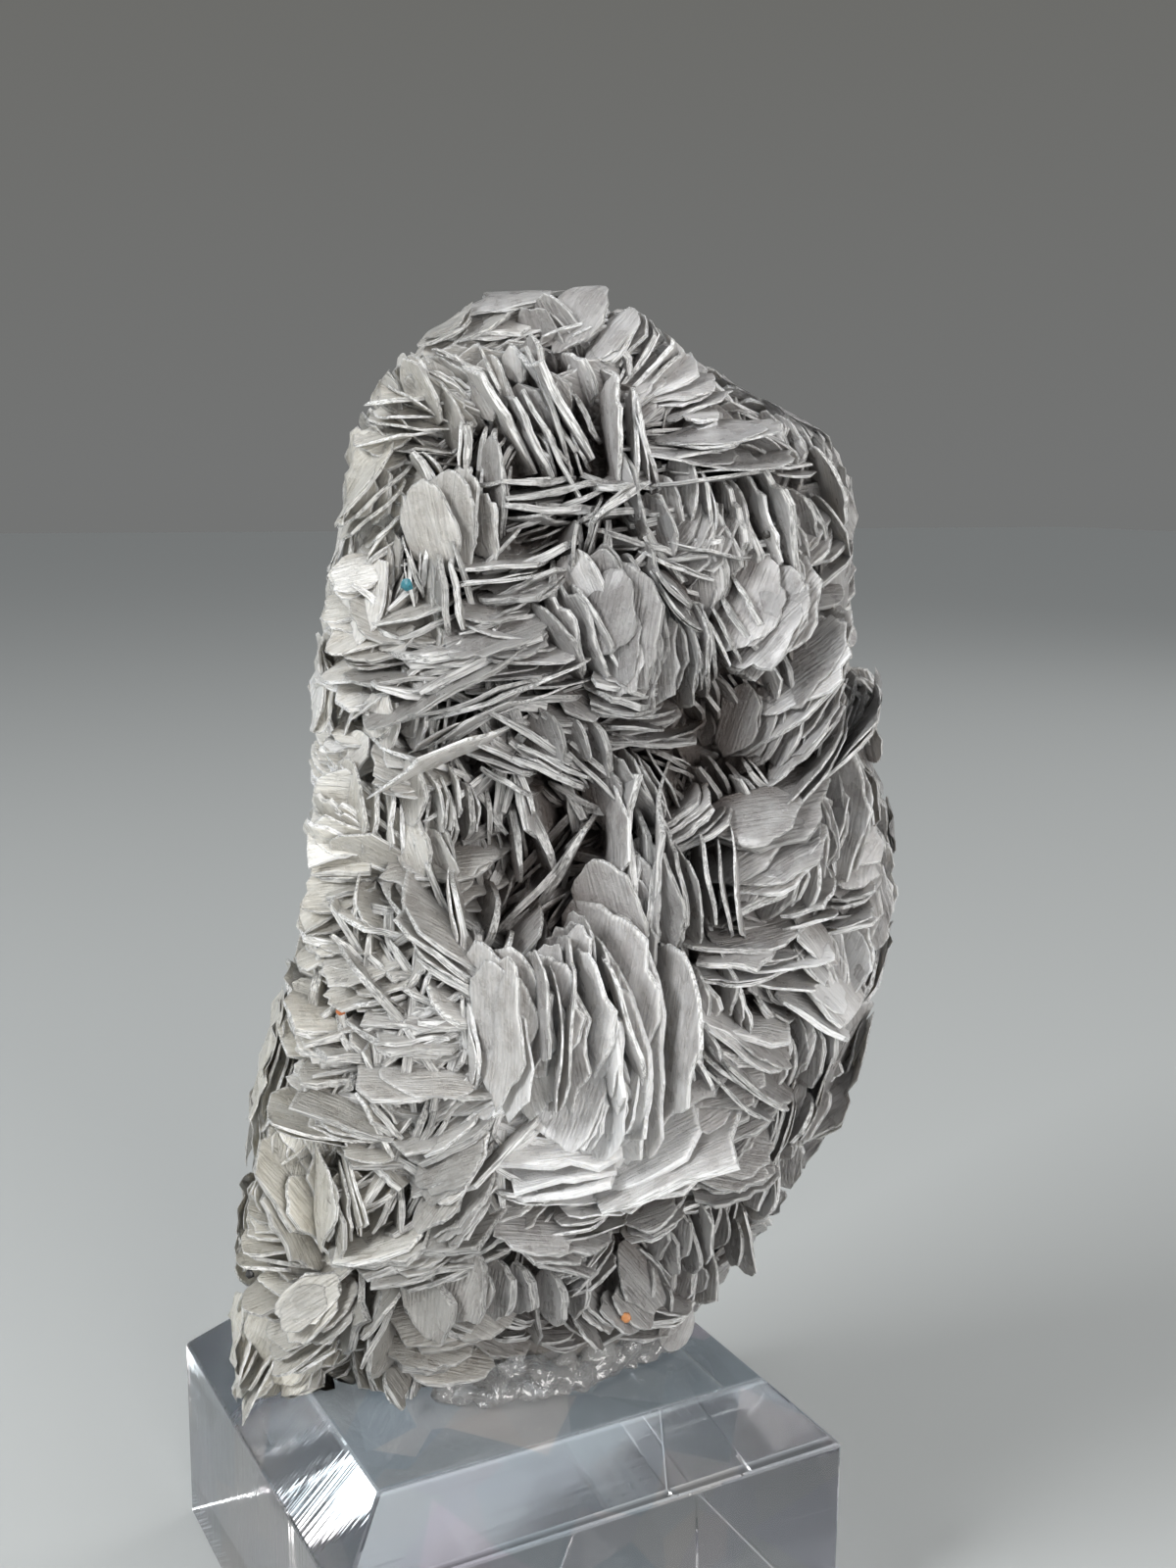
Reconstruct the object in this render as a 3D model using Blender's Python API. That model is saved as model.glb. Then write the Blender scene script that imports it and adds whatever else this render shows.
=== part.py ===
"""A bladed mica cluster, fixed with clear adhesive on a bevelled clear acrylic block.

Lengths are in millimetres and become metres when a mesh is finished. The origin is the middle
of the block's foot, +Z is up and the block's front faces -Y. The cluster is laid out in a frame
of its own, in which its broad face looks along -Y, and is then turned about Z by FACE_TURN.
"""

import math
import random

import bmesh
import bpy
from mathutils import Matrix, Vector, noise

METRE = 0.001  # one millimetre
SEED = 11

# The clear block
BLOCK_WIDTH = 50.0
BLOCK_DEPTH = 47.0
BLOCK_HEIGHT = 25.0
BLOCK_BEVEL = 5.5

# Clearances between touching pieces
GAP = 0.3

# The adhesive: a flat pad with lumps squeezed out along the cluster's front
PAD_CENTRE = (-1.5, 1.5)
PAD_HALF_WIDTH = 17.5
PAD_HALF_DEPTH = 11.5
PAD_THICKNESS = 1.6
LUMPS = (  # x, y, radius, height
    (-1.5, -10.2, 2.3, 2.0), (2.0, -9.6, 2.8, 3.2), (6.0, -9.2, 2.6, 3.8), (9.5, -7.8, 2.8, 3.4),
    (13.0, -5.6, 2.6, 3.6), (15.6, -2.6, 2.2, 2.8), (-14.0, -8.2, 2.4, 2.0),
)

# The cluster
FACE_TURN = math.radians(-28.5)
LAYOUT_EYE = Vector((8.5, -153.1, 109.4))  # places on the face are laid out as seen from here
ENVELOPE = (  # height, left, right, front and back of the plates' tips
    (24, -25.0, 19.5, -13.0, 13.0),
    (32, -25.0, 21.5, -16.0, 15.0),
    (42, -24.0, 27.0, -19.0, 17.0),
    (52, -22.5, 32.0, -21.0, 18.0),
    (62, -19.5, 35.0, -21.0, 18.5),
    (72, -17.5, 37.0, -20.0, 18.0),
    (81, -16.5, 35.5, -18.5, 17.0),
    (91, -16.0, 34.5, -18.0, 16.0),
    (100, -14.5, 31.5, -17.0, 15.0),
    (108, -12.5, 31.5, -15.0, 13.0),
    (113, -12.0, 29.0, -13.0, 12.0),
    (117, -9.5, 21.0, -11.0, 10.0),
    (121, -6.0, 14.5, -8.0, 7.0),
    (124.6, 0.0, 9.0, -4.0, 4.0),
)
SECTION_POWER = 2.4  # 2 is an ellipse, and more is squarer
TIP_REACH = 4.5  # how far the tips stand out from the grown-together middle
HOLLOWS = ((5.0, 77.0, 7.5, 5.0), (21.5, 86.5, 6.0, 4.5))  # x, height, radius, depth
CORE_HEIGHTS = (26, 34, 44, 54, 64, 74, 84, 94, 103, 110, 115, 119, 121.5)
CORE_SIDES = 14

# Books of plates on the face: x, height, angle of the edge from level, how far the book opens to
# the front from edge-on (degrees), half length, reach, plates, spacing, fan (degrees), forward
FACE_BOOKS = {
    "crown": (
        (-7.5, 117.5, 112, 45, 3.3, 2.4, 3, 0.9, 6, 0),
        (-3.5, 117.5, 145, 40, 4.6, 2.2, 4, 0.8, 5, 0), (2, 118, 105, 50, 2.4, 1.7, 4, 1.4, 8, 0),
        (-8.5, 113, 0, 28, 4.2, 2.2, 3, 1.1, 4, 1), (-9.5, 110.5, 8, 60, 2.6, 1.7, 2, 0.9, 0, 0),
        (-10, 107.5, 80, 50, 2.8, 1.8, 3, 1, 6, 0), (-3.5, 116, 3, 10, 2.2, 1.3, 2, 0.7, 4, -1),
        (-1, 112, 82, 20, 2.9, 1.5, 3, 1, 6, -1), (3.5, 113.5, 122, 18, 6.1, 1.8, 5, 1, 4, 0),
        (0.5, 117, 118, 30, 3.7, 1.7, 2, 0.9, 4, -1),
        (-1.5, 106.5, 96, 55, 4.6, 2.6, 3, 1.1, 6, 2), (-5.5, 108, 123, 18, 4, 1.7, 3, 0.9, 5, 0),
        (-10.5, 104.5, 38, 42, 4.8, 2.2, 4, 1.1, 7, 0),
        (-6.5, 106, 86, 12, 2.6, 1.5, 2, 0.9, 4, 0), (-6, 103, 145, 25, 3.5, 1.7, 2, 0.9, 4, 0),
        (4.5, 107, 2, 14, 4.8, 1.8, 3, 0.9, 5, 0), (1, 103.5, 45, 8, 3.9, 1.5, 1, 0.7, 0, 0),
        (-14, 102.5, 70, 30, 2.6, 1.5, 2, 0.8, 5, 0), (7, 122.2, 130, 52, 3.1, 2.4, 4, 0.9, 6, 0),
        (0.5, 122.2, 12, 35, 5.7, 2.4, 3, 0.8, 4, 0), (-4.5, 120.5, 28, 35, 3.1, 2, 3, 0.9, 6, 0),
        (8, 118, 118, 52, 2.6, 2, 5, 1.6, 8, 0), (6.5, 113.5, 122, 35, 3.1, 1.8, 3, 1.3, 6, -1),
        (12.5, 120.5, 50, 28, 4.6, 2, 4, 1.2, 14, 2),
        (10, 121.8, 100, 32, 2.4, 1.7, 3, 1.1, 12, 0),
        (14.5, 119, 18, 15, 2.8, 1.5, 3, 0.7, 5, -1), (16, 116.5, 18, 34, 3.7, 1.8, 2, 0.9, 5, 0),
    ),
    "upper_right": (
        (18.5, 113.5, 0, 20, 1.7, 1.1, 3, 0.7, 4, 0), (23, 116.5, 158, 40, 3.9, 2.4, 3, 1, 6, 0),
        (27.5, 113.5, 115, 42, 3.3, 2, 4, 0.9, 8, 0), (24.5, 112.5, 150, 52, 2.9, 2, 2, 0.8, 5, 0),
        (18, 110.5, 5, 30, 6.4, 2.4, 3, 0.8, 4, 3), (26.5, 110, -3, 15, 2.2, 1.3, 2, 0.6, 4, 0),
        (12, 112.5, 96, 28, 5, 1.8, 2, 0.9, 4, 2), (17, 112, 3, 16, 4.8, 1.8, 3, 0.8, 5, 0),
        (18, 106.5, 100, 45, 3.5, 2.2, 2, 1.1, 5, 1), (11.5, 107, 6, 14, 4, 1.8, 3, 1, 5, 1),
        (14.5, 105, 3, 18, 4.6, 1.8, 2, 1, 4, 0), (23, 103.5, 108, 38, 5.7, 2.6, 4, 1.4, 7, 1),
        (29.5, 106, 115, 46, 3.7, 2.6, 4, 1.1, 7, 0), (32, 106, 92, 58, 3.9, 2.4, 1, 0.7, 0, -3),
        (25, 104, 4, 16, 2.6, 1.5, 3, 0.9, 5, 0), (19.5, 104, 50, 50, 3.5, 2.2, 2, 1.1, 5, 1),
        (16.5, 101.5, -4, 16, 4.8, 1.8, 3, 0.8, 5, 0),
        (12.5, 100.5, 103, 48, 3.3, 2.4, 3, 1.2, 7, 1), (8, 103.5, 88, 10, 2.8, 1.5, 2, 0.9, 4, 0),
        (30, 102.5, 35, 50, 3.1, 2, 2, 1, 5, 0), (26, 100.5, 95, 55, 2.8, 2.2, 3, 1.3, 6, 0),
    ),
    "left_shelves": (
        (-13, 97.5, 8, 58, 3.5, 2.4, 3, 0.8, 5, 1), (-7, 100, 100, 15, 2.4, 1.3, 4, 0.6, 10, 0),
        (-4, 98.5, 104, 14, 4, 1.7, 2, 0.8, 4, 2), (0.5, 99.5, 22, 16, 5, 1.8, 3, 0.8, 5, 1),
        (0.5, 97.5, 15, 12, 4.4, 1.8, 5, 0.6, 5, 0), (-7, 96, 14, 22, 3.9, 1.8, 2, 0.9, 4, 1),
        (-11, 92.5, 5, 45, 4.6, 2.4, 3, 1, 5, 1), (-9, 93.5, 40, 60, 2.2, 1.7, 1, 0.7, 0, 1),
        (-2.5, 94, 25, 20, 8.1, 2.6, 2, 1, 4, 2), (1.5, 94, -8, 36, 4.4, 2, 2, 0.9, 5, 1),
        (-7.5, 91, 8, 16, 6.2, 2.2, 3, 0.7, 4, 2), (1.5, 91, 8, 32, 5, 2.6, 5, 0.7, 6, 2),
        (7.5, 95, 115, 28, 5, 2.2, 2, 1, 4, 2), (-2.5, 86, 25, 28, 8.4, 3.1, 3, 1.1, 5, 3),
        (-7.5, 87, 80, 42, 3.3, 2, 4, 1, 7, 1), (-10.5, 86.5, 118, 22, 3.5, 1.7, 1, 0.8, 0, 1),
        (-14, 88.5, 70, 45, 3.1, 1.8, 2, 1, 8, 0), (-14, 84.5, 10, 40, 2.8, 1.7, 2, 0.9, 6, 0),
        (-14.5, 82, -5, 30, 2.4, 1.5, 2, 0.9, 4, 0), (6, 87.5, -20, 30, 2.9, 1.7, 3, 0.8, 6, 0),
        (0, 82.5, -22, 16, 3.9, 1.8, 3, 0.9, 5, 1), (4, 83, -25, 14, 5, 1.8, 3, 0.9, 5, 1),
        (-8.5, 81.5, -5, 50, 4, 2, 1, 0.8, 0, 2), (-9.5, 77.5, 90, 30, 4.2, 1.8, 4, 1.1, 7, 1),
        (-2.5, 77, 100, 45, 4, 2.4, 4, 1.6, 7, 1), (1.5, 76.5, 105, 40, 4.2, 2, 3, 1.3, 6, 0),
        (-5.5, 80, 95, 35, 3.1, 1.7, 2, 1.1, 5, 2), (-13, 77, 138, 32, 4.8, 2.2, 3, 1.2, 7, 1),
        (-14.5, 78, 15, 45, 2.9, 2, 2, 1, 5, 0),
    ),
    "middle_fans": (
        (13.5, 95, 88, 62, 5.3, 3.1, 3, 0.7, 5, 2), (17, 94, 95, 50, 5.1, 2.9, 4, 0.9, 6, 1),
        (15.5, 98.5, -40, 14, 3.5, 1.5, 2, 0.8, 4, 2), (19, 94.5, 122, 32, 3.1, 1.7, 2, 0.9, 4, 0),
        (21.5, 95.5, 118, 28, 4.2, 1.8, 3, 1.6, 7, 1), (27, 95.5, 58, 58, 6.1, 3.9, 2, 0.8, 4, 3),
        (30.5, 96.5, 8, 30, 2.4, 1.8, 3, 1.1, 8, 0), (31, 93.5, -15, 40, 2.4, 1.8, 2, 1, 5, 0),
        (21, 88, 92, 45, 2.8, 1.8, 3, 1.4, 7, -3), (24, 89, 96, 40, 3.1, 1.8, 3, 1.2, 7, -2),
        (26, 91.5, 102, 35, 2.8, 1.7, 2, 0.9, 4, 0), (28, 89.5, 60, 52, 3.1, 2.2, 2, 0.9, 5, 0),
        (28, 85.5, 78, 50, 4, 2.8, 5, 0.9, 7, 2), (31, 86, 52, 32, 7.7, 3.1, 6, 0.9, 6, 4),
        (35.5, 86, 78, 60, 2.8, 2.2, 1, 0.7, 0, 0), (34.5, 81, 104, 55, 3.5, 2.6, 2, 1.1, 5, 0),
        (14, 81, 116, 42, 5.3, 2.8, 3, 0.9, 6, 1), (13.5, 85.5, -8, 20, 4.2, 1.8, 2, 0.9, 4, -1),
        (11, 90, -18, 12, 3.3, 1.5, 2, 0.8, 4, 1), (12, 88, -10, 35, 4, 1.8, 3, 1, 6, 0),
        (8.5, 85.5, 100, 50, 2.9, 2, 3, 1.4, 7, 1), (8.5, 81.5, -45, 10, 5, 1.7, 3, 0.8, 5, 1),
        (22, 84, -27, 12, 3.5, 1.3, 1, 0.7, 0, -3), (21.5, 80.5, 120, 42, 3.5, 2.2, 4, 1.4, 8, 0),
        (24, 78.5, 115, 16, 3.3, 1.5, 2, 0.9, 4, 1),
        (20.5, 77.5, 130, 50, 2.9, 2.2, 2, 0.9, 5, -1), (17, 77, 33, 16, 4.2, 1.8, 4, 0.7, 5, 1),
        (22.5, 77, 38, 14, 2.4, 1.3, 1, 0.7, 0, 0), (25.5, 80, 80, 45, 2, 1.7, 3, 0.9, 10, 0),
    ),
    "hollow_blades": (
        (12.5, 74, 90, 9, 7.7, 2.8, 3, 0.9, 4, 4), (6, 70, 48, 13, 8.6, 2.6, 4, 1, 4, 0),
        (5, 73, 58, 13, 7.9, 2.4, 3, 1, 4, -1), (3, 63.5, 55, 18, 3.7, 1.8, 2, 0.9, 4, 1),
        (-2.5, 79.5, 100, 25, 2.8, 1.5, 2, 1.1, 5, -3),
        (8.5, 76.5, 60, 15, 3.1, 1.5, 2, 0.9, 5, -6), (5, 78.5, 10, 25, 3.7, 1.7, 2, 1.1, 5, -6),
        (2, 74.5, 95, 25, 3.1, 1.7, 2, 1.1, 5, -6), (19, 70.5, 101, 38, 5.5, 3.3, 6, 1.1, 8, 3),
        (15, 70.5, 96, 12, 5.1, 2.4, 3, 0.9, 5, 1),
    ),
    "right_discs": (
        (26, 73.5, 30, 40, 5.7, 2.9, 4, 1, 6, 3), (27.5, 71, 76, 50, 3.5, 2.6, 3, 1.2, 6, 1),
        (33, 76, 86, 58, 6.1, 3.9, 2, 0.9, 5, 1), (36.5, 72, 88, 60, 5.1, 3.9, 2, 0.8, 4, -1),
        (29.5, 68.5, 28, 14, 2.9, 1.5, 2, 0.8, 4, 1), (33.5, 67.5, 14, 12, 2.6, 1.5, 1, 0.8, 0, 0),
        (22.5, 64.5, -4, 16, 4.8, 2, 2, 0.9, 4, 1), (26, 62.5, 0, 28, 5.3, 2.2, 3, 0.9, 5, 1),
        (29.5, 64.5, -45, 35, 2.8, 1.7, 2, 0.9, 4, 1),
        (20.5, 60.5, 100, 46, 3.5, 2.2, 4, 1.1, 7, 0), (34, 62, 82, 60, 5, 3.5, 3, 0.9, 5, 0),
        (30.5, 58, -46, 16, 4.4, 1.8, 2, 0.8, 4, 2), (24.5, 55.5, -22, 20, 5, 2, 3, 0.9, 5, 1),
        (23, 52.5, -36, 26, 5.9, 2.2, 3, 1, 5, 2), (30, 54.5, 88, 52, 3.9, 2.9, 3, 1.1, 6, 0),
        (32.5, 54, 86, 50, 2.8, 2, 2, 0.8, 4, 0), (18.5, 53.5, 114, 32, 3.5, 1.8, 2, 0.9, 4, 1),
        (31, 48.5, 60, 55, 4.4, 3.5, 3, 1, 6, 0), (28, 47, 72, 55, 3.7, 2.8, 3, 1.2, 7, 0),
        (20, 56.5, 110, 40, 2.8, 1.8, 2, 1.1, 5, 0),
    ),
    "bright_stack": (
        (16, 55.5, 96, 52, 11.7, 6.1, 3, 1, 4, 4), (14, 62.5, 100, 55, 5.5, 3.7, 2, 0.9, 4, 2),
        (8, 56, 98, 48, 7.3, 3.7, 6, 1.1, 6, 6), (8.5, 63.5, 98, 50, 3.1, 2, 3, 1, 6, 5),
        (5.5, 55.5, 88, 48, 7.5, 2.9, 3, 0.9, 5, 8), (12.5, 47.5, 80, 50, 4.6, 3.1, 3, 1, 6, 4),
    ),
    "criss_cross": (
        (-5, 70.5, 10, 50, 6.2, 3.1, 2, 0.9, 4, 0), (-14, 71, 2, 22, 3.5, 2.2, 6, 0.8, 6, 0),
        (-14.5, 66.5, 8, 45, 3.9, 2.4, 3, 1.1, 5, 0), (-15.5, 64, 20, 36, 4.2, 2, 2, 0.9, 4, 1),
        (-10.5, 63, 132, 14, 3.9, 1.7, 2, 0.8, 4, 1), (-13.5, 61.5, 10, 40, 4.2, 2, 3, 1, 5, 0),
        (-4, 67, 94, 8, 5.1, 1.7, 1, 0.8, 0, 4), (-6.5, 67.5, -50, 14, 3.5, 1.5, 2, 0.8, 4, 2),
        (-7.5, 66, -48, 14, 4, 1.7, 2, 0.8, 4, 1), (-11, 66.5, -40, 16, 3.3, 1.5, 2, 0.8, 4, 0),
        (-4, 61.5, -40, 14, 6.8, 2.2, 3, 0.9, 5, 4), (-7, 61.5, 60, 18, 2.4, 1.3, 3, 0.8, 8, 1),
        (-11, 59, 18, 32, 4.8, 2, 4, 1, 5, 1), (-7.5, 56.5, 8, 18, 5.5, 2.2, 3, 0.9, 5, 2),
        (-2.5, 57, 91, 14, 3.9, 1.8, 2, 0.8, 4, 3), (-17.5, 59, -10, 40, 2.8, 1.8, 2, 1, 5, 0),
        (-15.5, 53, 3, 24, 4.6, 2.2, 3, 1, 4, 2), (-16.5, 55, 10, 50, 2.8, 1.7, 1, 0.8, 0, 1),
        (-6.5, 54.5, 50, 10, 3.1, 1.3, 3, 0.6, 5, 0), (1, 54.5, -42, 14, 3.3, 1.5, 3, 0.8, 5, 1),
        (-6.5, 51.5, 18, 14, 6.1, 2, 3, 0.8, 5, 2), (-15, 50.5, 38, 14, 4, 1.8, 3, 0.9, 5, 1),
        (-18, 50.5, -12, 30, 2.9, 1.7, 3, 1, 5, 0), (-21, 51.5, 70, 38, 6.2, 2.8, 4, 1.2, 6, 0),
        (-16, 46, -12, 18, 6.1, 2.2, 3, 0.9, 4, 3), (-14, 48.5, -25, 16, 4.8, 1.8, 3, 0.9, 5, 1),
        (-10.5, 48.5, 125, 12, 3.1, 1.5, 3, 0.8, 6, 1),
        (-6.5, 47.5, 62, 14, 3.5, 1.7, 3, 0.9, 10, 1), (-1.5, 48, 48, 24, 7.3, 2.9, 5, 1.1, 5, 2),
        (-3.5, 43.5, 38, 22, 4.8, 2.2, 3, 1, 5, 2), (-3.5, 39.5, 50, 32, 4.4, 2.4, 3, 1, 5, 4),
        (1, 49.5, 45, 14, 4.6, 2, 2, 0.9, 4, 1), (-12, 43.5, -20, 20, 3.7, 1.7, 2, 0.9, 5, 0),
        (0, 58.5, -38, 20, 4, 1.8, 3, 1, 5, 1),
    ),
    "lower_left": (
        (-19.5, 38, -55, 50, 5.7, 3.5, 3, 1.4, 6, 0), (-22, 40.5, -75, 45, 3.7, 2.2, 2, 1.1, 5, 0),
        (-15.5, 38.5, 92, 28, 5.3, 2.2, 2, 0.9, 4, 2), (-12.5, 40, 50, 14, 3.5, 1.7, 3, 1, 6, 1),
        (-21.5, 34, -10, 42, 4.2, 2.4, 4, 1.2, 6, 0),
        (-17.5, 25.5, 35, 55, 3.5, 2.8, 2, 0.8, 4, 3), (-12, 33.5, 22, 18, 5.7, 2.2, 3, 0.9, 5, 3),
        (-5.5, 33, 22, 18, 6.8, 2.4, 4, 0.9, 5, 3), (1, 35.5, 30, 36, 5.5, 2.4, 2, 0.9, 4, 2),
        (-9.5, 39, 75, 12, 3.5, 1.5, 3, 0.8, 8, 0), (-10.5, 42.5, -25, 20, 3.3, 1.7, 2, 0.9, 5, 1),
        (-5, 27.5, -30, 22, 4.4, 2, 4, 1.1, 6, 2), (-14, 25.5, 72, 14, 4.2, 1.8, 2, 1, 4, 3),
        (-11, 25.5, 65, 14, 4.2, 1.8, 2, 0.8, 4, 3), (-6.5, 22.5, -12, 52, 5, 2.6, 4, 1.2, 6, 1),
        (-11, 19, -68, 20, 2.6, 1.5, 1, 0.8, 0, 1), (-24, 21.5, 62, 38, 5, 2.2, 3, 1, 6, 1),
        (-19.5, 22.5, 32, 30, 4, 2, 2, 0.9, 4, 2), (3, 29, 88, 58, 3.5, 2.8, 4, 2.4, 6, 3),
        (-21, 28.5, 5, 45, 3.1, 2, 2, 1.1, 6, 0),
    ),
    "lower_right": (
        (6.5, 42, -3, 22, 5.7, 2.4, 3, 0.9, 5, 3), (2, 40, -25, 16, 3.7, 1.7, 2, 0.8, 4, 2),
        (15, 41.5, 25, 18, 8.8, 2.8, 3, 1, 5, 3), (22, 47.5, 30, 46, 4.4, 2.6, 4, 1.1, 6, 1),
        (22, 41.5, 10, 50, 4.6, 2.4, 3, 1.1, 5, 1), (26, 42, 74, 54, 3.3, 2.6, 2, 1.1, 6, 0),
        (22.5, 36.5, 78, 52, 3.1, 2.4, 2, 1.1, 6, 0), (15, 36.5, 20, 58, 3.1, 2.4, 1, 0.8, 0, 1),
        (19, 35, 96, 45, 3.5, 2.2, 3, 1, 6, 1), (20, 30.5, 85, 52, 2.6, 2, 2, 1, 5, 0),
        (9, 37, 5, 30, 3.9, 2, 3, 0.9, 5, 2), (5.5, 34, -15, 45, 4.2, 2.2, 2, 0.9, 4, 3),
        (9, 31.5, 38, 36, 3.7, 1.8, 2, 0.9, 4, 2), (14.5, 30, 90, 42, 2.6, 1.8, 3, 0.9, 6, 1),
        (17.5, 29, 80, 54, 2.4, 2, 1, 0.8, 0, 0), (11, 27, -50, 30, 3.3, 1.8, 4, 1.2, 7, 3),
        (17, 27.5, -5, 16, 2.6, 1.5, 2, 0.7, 4, 1),
    ),
}
BOOK_SIDES = 6
SMALLEST_BOOK = 3.4  # half length below which a book is left to the fine surface
LEAST_REACH = 3.4
LEAST_THICKNESS = 0.8
MOST_THICKNESS = 3.6

# Books on the sides and back, in rows from the foot up
BACK_ROWS = 10
BACK_BOOKS_A_ROW = 8
BACK_FIRST_ANGLE = math.radians(-12)
BACK_LAST_ANGLE = math.radians(192)
BACK_LOWEST = 33.0
BACK_HIGHEST = 119.0


def new_collection(name):
    collection = bpy.data.collections.new(name)
    bpy.context.scene.collection.children.link(collection)
    return collection


def new_material(name, colour, roughness, transmission=0.0, ior=1.5):
    material = bpy.data.materials.new(name)
    material.use_nodes = True
    shader = material.node_tree.nodes["Principled BSDF"]
    shader.inputs["Base Color"].default_value = (*colour, 1.0)
    shader.inputs["Roughness"].default_value = roughness
    shader.inputs["Metallic"].default_value = 0.0
    shader.inputs["Transmission Weight"].default_value = transmission
    shader.inputs["IOR"].default_value = ior
    return material


def finished_object(name, bm, collection, turn=0.0, material=None):
    """An object from a bmesh in millimetres, turned about Z and brought to metres."""
    bmesh.ops.recalc_face_normals(bm, faces=bm.faces)
    bm.transform(Matrix.Rotation(turn, 4, "Z") @ Matrix.Scale(METRE, 4))
    mesh = bpy.data.meshes.new(name)
    bm.to_mesh(mesh)
    bm.free()
    made = bpy.data.objects.new(name, mesh)
    collection.objects.link(made)
    if material:
        mesh.materials.append(material)
    return made


def as_helper(made):
    made.hide_render = True
    made.display_type = "WIRE"
    return made


def add_boolean(made, operation, other, use_self=False):
    boolean = made.modifiers.new(f"{operation.title()} {other.name}", "BOOLEAN")
    boolean.operation = operation
    boolean.object = other
    boolean.solver = "EXACT"
    boolean.use_self = use_self


# ---------------------------------------------------------------- block and adhesive


def block_mesh(grow=0.0):
    """The block with its rim bevelled. Grown, it stands out further on every side."""
    bm = bmesh.new()
    height = BLOCK_HEIGHT + grow
    bmesh.ops.create_cube(bm, size=1.0)
    size = Matrix.Diagonal((BLOCK_WIDTH + 2 * grow, BLOCK_DEPTH + 2 * grow, height, 1.0))
    bm.transform(Matrix.Translation((0, 0, height / 2)) @ size)
    rim = [edge for edge in bm.edges if all(v.co.z > height / 2 for v in edge.verts)]
    bmesh.ops.bevel(
        bm, geom=rim, offset=BLOCK_BEVEL, offset_type="OFFSET",
        segments=1, profile=0.5, affect="EDGES", material=-1,
    )
    return bm


def pad_mesh(grow=0.0):
    """The adhesive's pad. Grown, it stands out further on every side."""
    bm = bmesh.new()
    floor = BLOCK_HEIGHT + GAP - grow
    top = BLOCK_HEIGHT + GAP + PAD_THICKNESS + grow
    bmesh.ops.create_cone(
        bm, cap_ends=True, segments=20, radius1=1.0, radius2=0.94, depth=top - floor
    )
    for vert in bm.verts:
        wave = 1.0 + 0.06 * math.sin(5 * math.atan2(vert.co.y, vert.co.x) + 0.8)
        vert.co.x = vert.co.x * wave * (PAD_HALF_WIDTH + grow) + PAD_CENTRE[0]
        vert.co.y = vert.co.y * wave * (PAD_HALF_DEPTH + grow) + PAD_CENTRE[1]
        vert.co.z += (top + floor) / 2
    return bm


def lumps_mesh(grow=0.0):
    """The lumps squeezed out at the front, as flat-bottomed domes."""
    bm = bmesh.new()
    floor = BLOCK_HEIGHT + GAP - grow
    for x, y, radius, height in LUMPS:
        made = bmesh.ops.create_uvsphere(bm, u_segments=8, v_segments=4, radius=1.0)
        for vert in made["verts"]:
            vert.co.x = vert.co.x * (radius + grow) + x
            vert.co.y = vert.co.y * (radius + grow) + y
            vert.co.z = vert.co.z * (height + 2 * grow) + floor
    bmesh.ops.bisect_plane(
        bm, geom=bm.verts[:] + bm.edges[:] + bm.faces[:], dist=1e-5,
        plane_co=(0, 0, floor), plane_no=(0, 0, -1), clear_outer=True,
    )
    bmesh.ops.holes_fill(bm, edges=[edge for edge in bm.edges if edge.is_boundary])
    return bm


# ---------------------------------------------------------------- the cluster's envelope


def section_at(height):
    """Middle x, half width, middle y and half depth of the envelope at a height."""
    rows = ENVELOPE
    height = min(max(height, rows[0][0]), rows[-1][0])
    upper = next(i for i in range(1, len(rows)) if rows[i][0] >= height)
    low, high = rows[upper - 1], rows[upper]
    share = (height - low[0]) / (high[0] - low[0])
    left, right, front, back = (a + (b - a) * share for a, b in zip(low[1:], high[1:]))
    return (left + right) / 2, (right - left) / 2, (front + back) / 2, (back - front) / 2


def front_of(x, height):
    """How far forward the envelope's front is at this place, with its hollows."""
    middle, half_width, centre, half_depth = section_at(height)
    across = min(abs(x - middle) / half_width, 0.97)
    depth = half_depth * (1 - across**SECTION_POWER) ** (1 / SECTION_POWER)
    sunk = sum(
        deep * math.exp(-((x - hx) ** 2 + (height - hz) ** 2) / radius**2)
        for hx, hz, radius, deep in HOLLOWS
    )
    return centre - depth + sunk


def place_on_face(x, height, forward):
    """The point of the front that covers (x, height) of the plane y = 0, as seen from the eye."""
    aim = Vector((x, 0.0, height)) - LAYOUT_EYE
    point = LAYOUT_EYE + aim
    for _ in range(6):
        depth = front_of(point.x, point.z) - forward
        point = LAYOUT_EYE + aim * ((depth - LAYOUT_EYE.y) / -LAYOUT_EYE.y)
    return point


def core_mesh():
    """The grown-together middle, lofted through rings inside the envelope."""
    bm = bmesh.new()
    rings = []
    for height in CORE_HEIGHTS:
        middle, half_width, centre, half_depth = section_at(height)
        ring = bmesh.ops.create_circle(bm, segments=CORE_SIDES, radius=1.0)["verts"]
        for vert in ring:
            angle = math.atan2(vert.co.y, vert.co.x)
            cos, sin = math.cos(angle), math.sin(angle)
            power = 2 / SECTION_POWER
            x = middle + math.copysign(abs(cos) ** power, cos) * (half_width - TIP_REACH + 0.5)
            y = centre + math.copysign(abs(sin) ** power, sin) * (half_depth - TIP_REACH)
            place = Vector((x, y, height))
            if sin < 0:
                place.y = max(place.y, front_of(x, height) + TIP_REACH - 0.5)
            vert.co = place + 0.9 * noise.noise_vector(place * 0.12)
        rings.append(ring)
    for lower, upper in zip(rings, rings[1:]):
        loops = [edge for edge in bm.edges if all(v in lower for v in edge.verts)]
        loops += [edge for edge in bm.edges if all(v in upper for v in edge.verts)]
        bmesh.ops.bridge_loops(bm, edges=loops)
    bmesh.ops.holes_fill(bm, edges=[edge for edge in bm.edges if edge.is_boundary])
    return bm


# ---------------------------------------------------------------- books of plates


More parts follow.
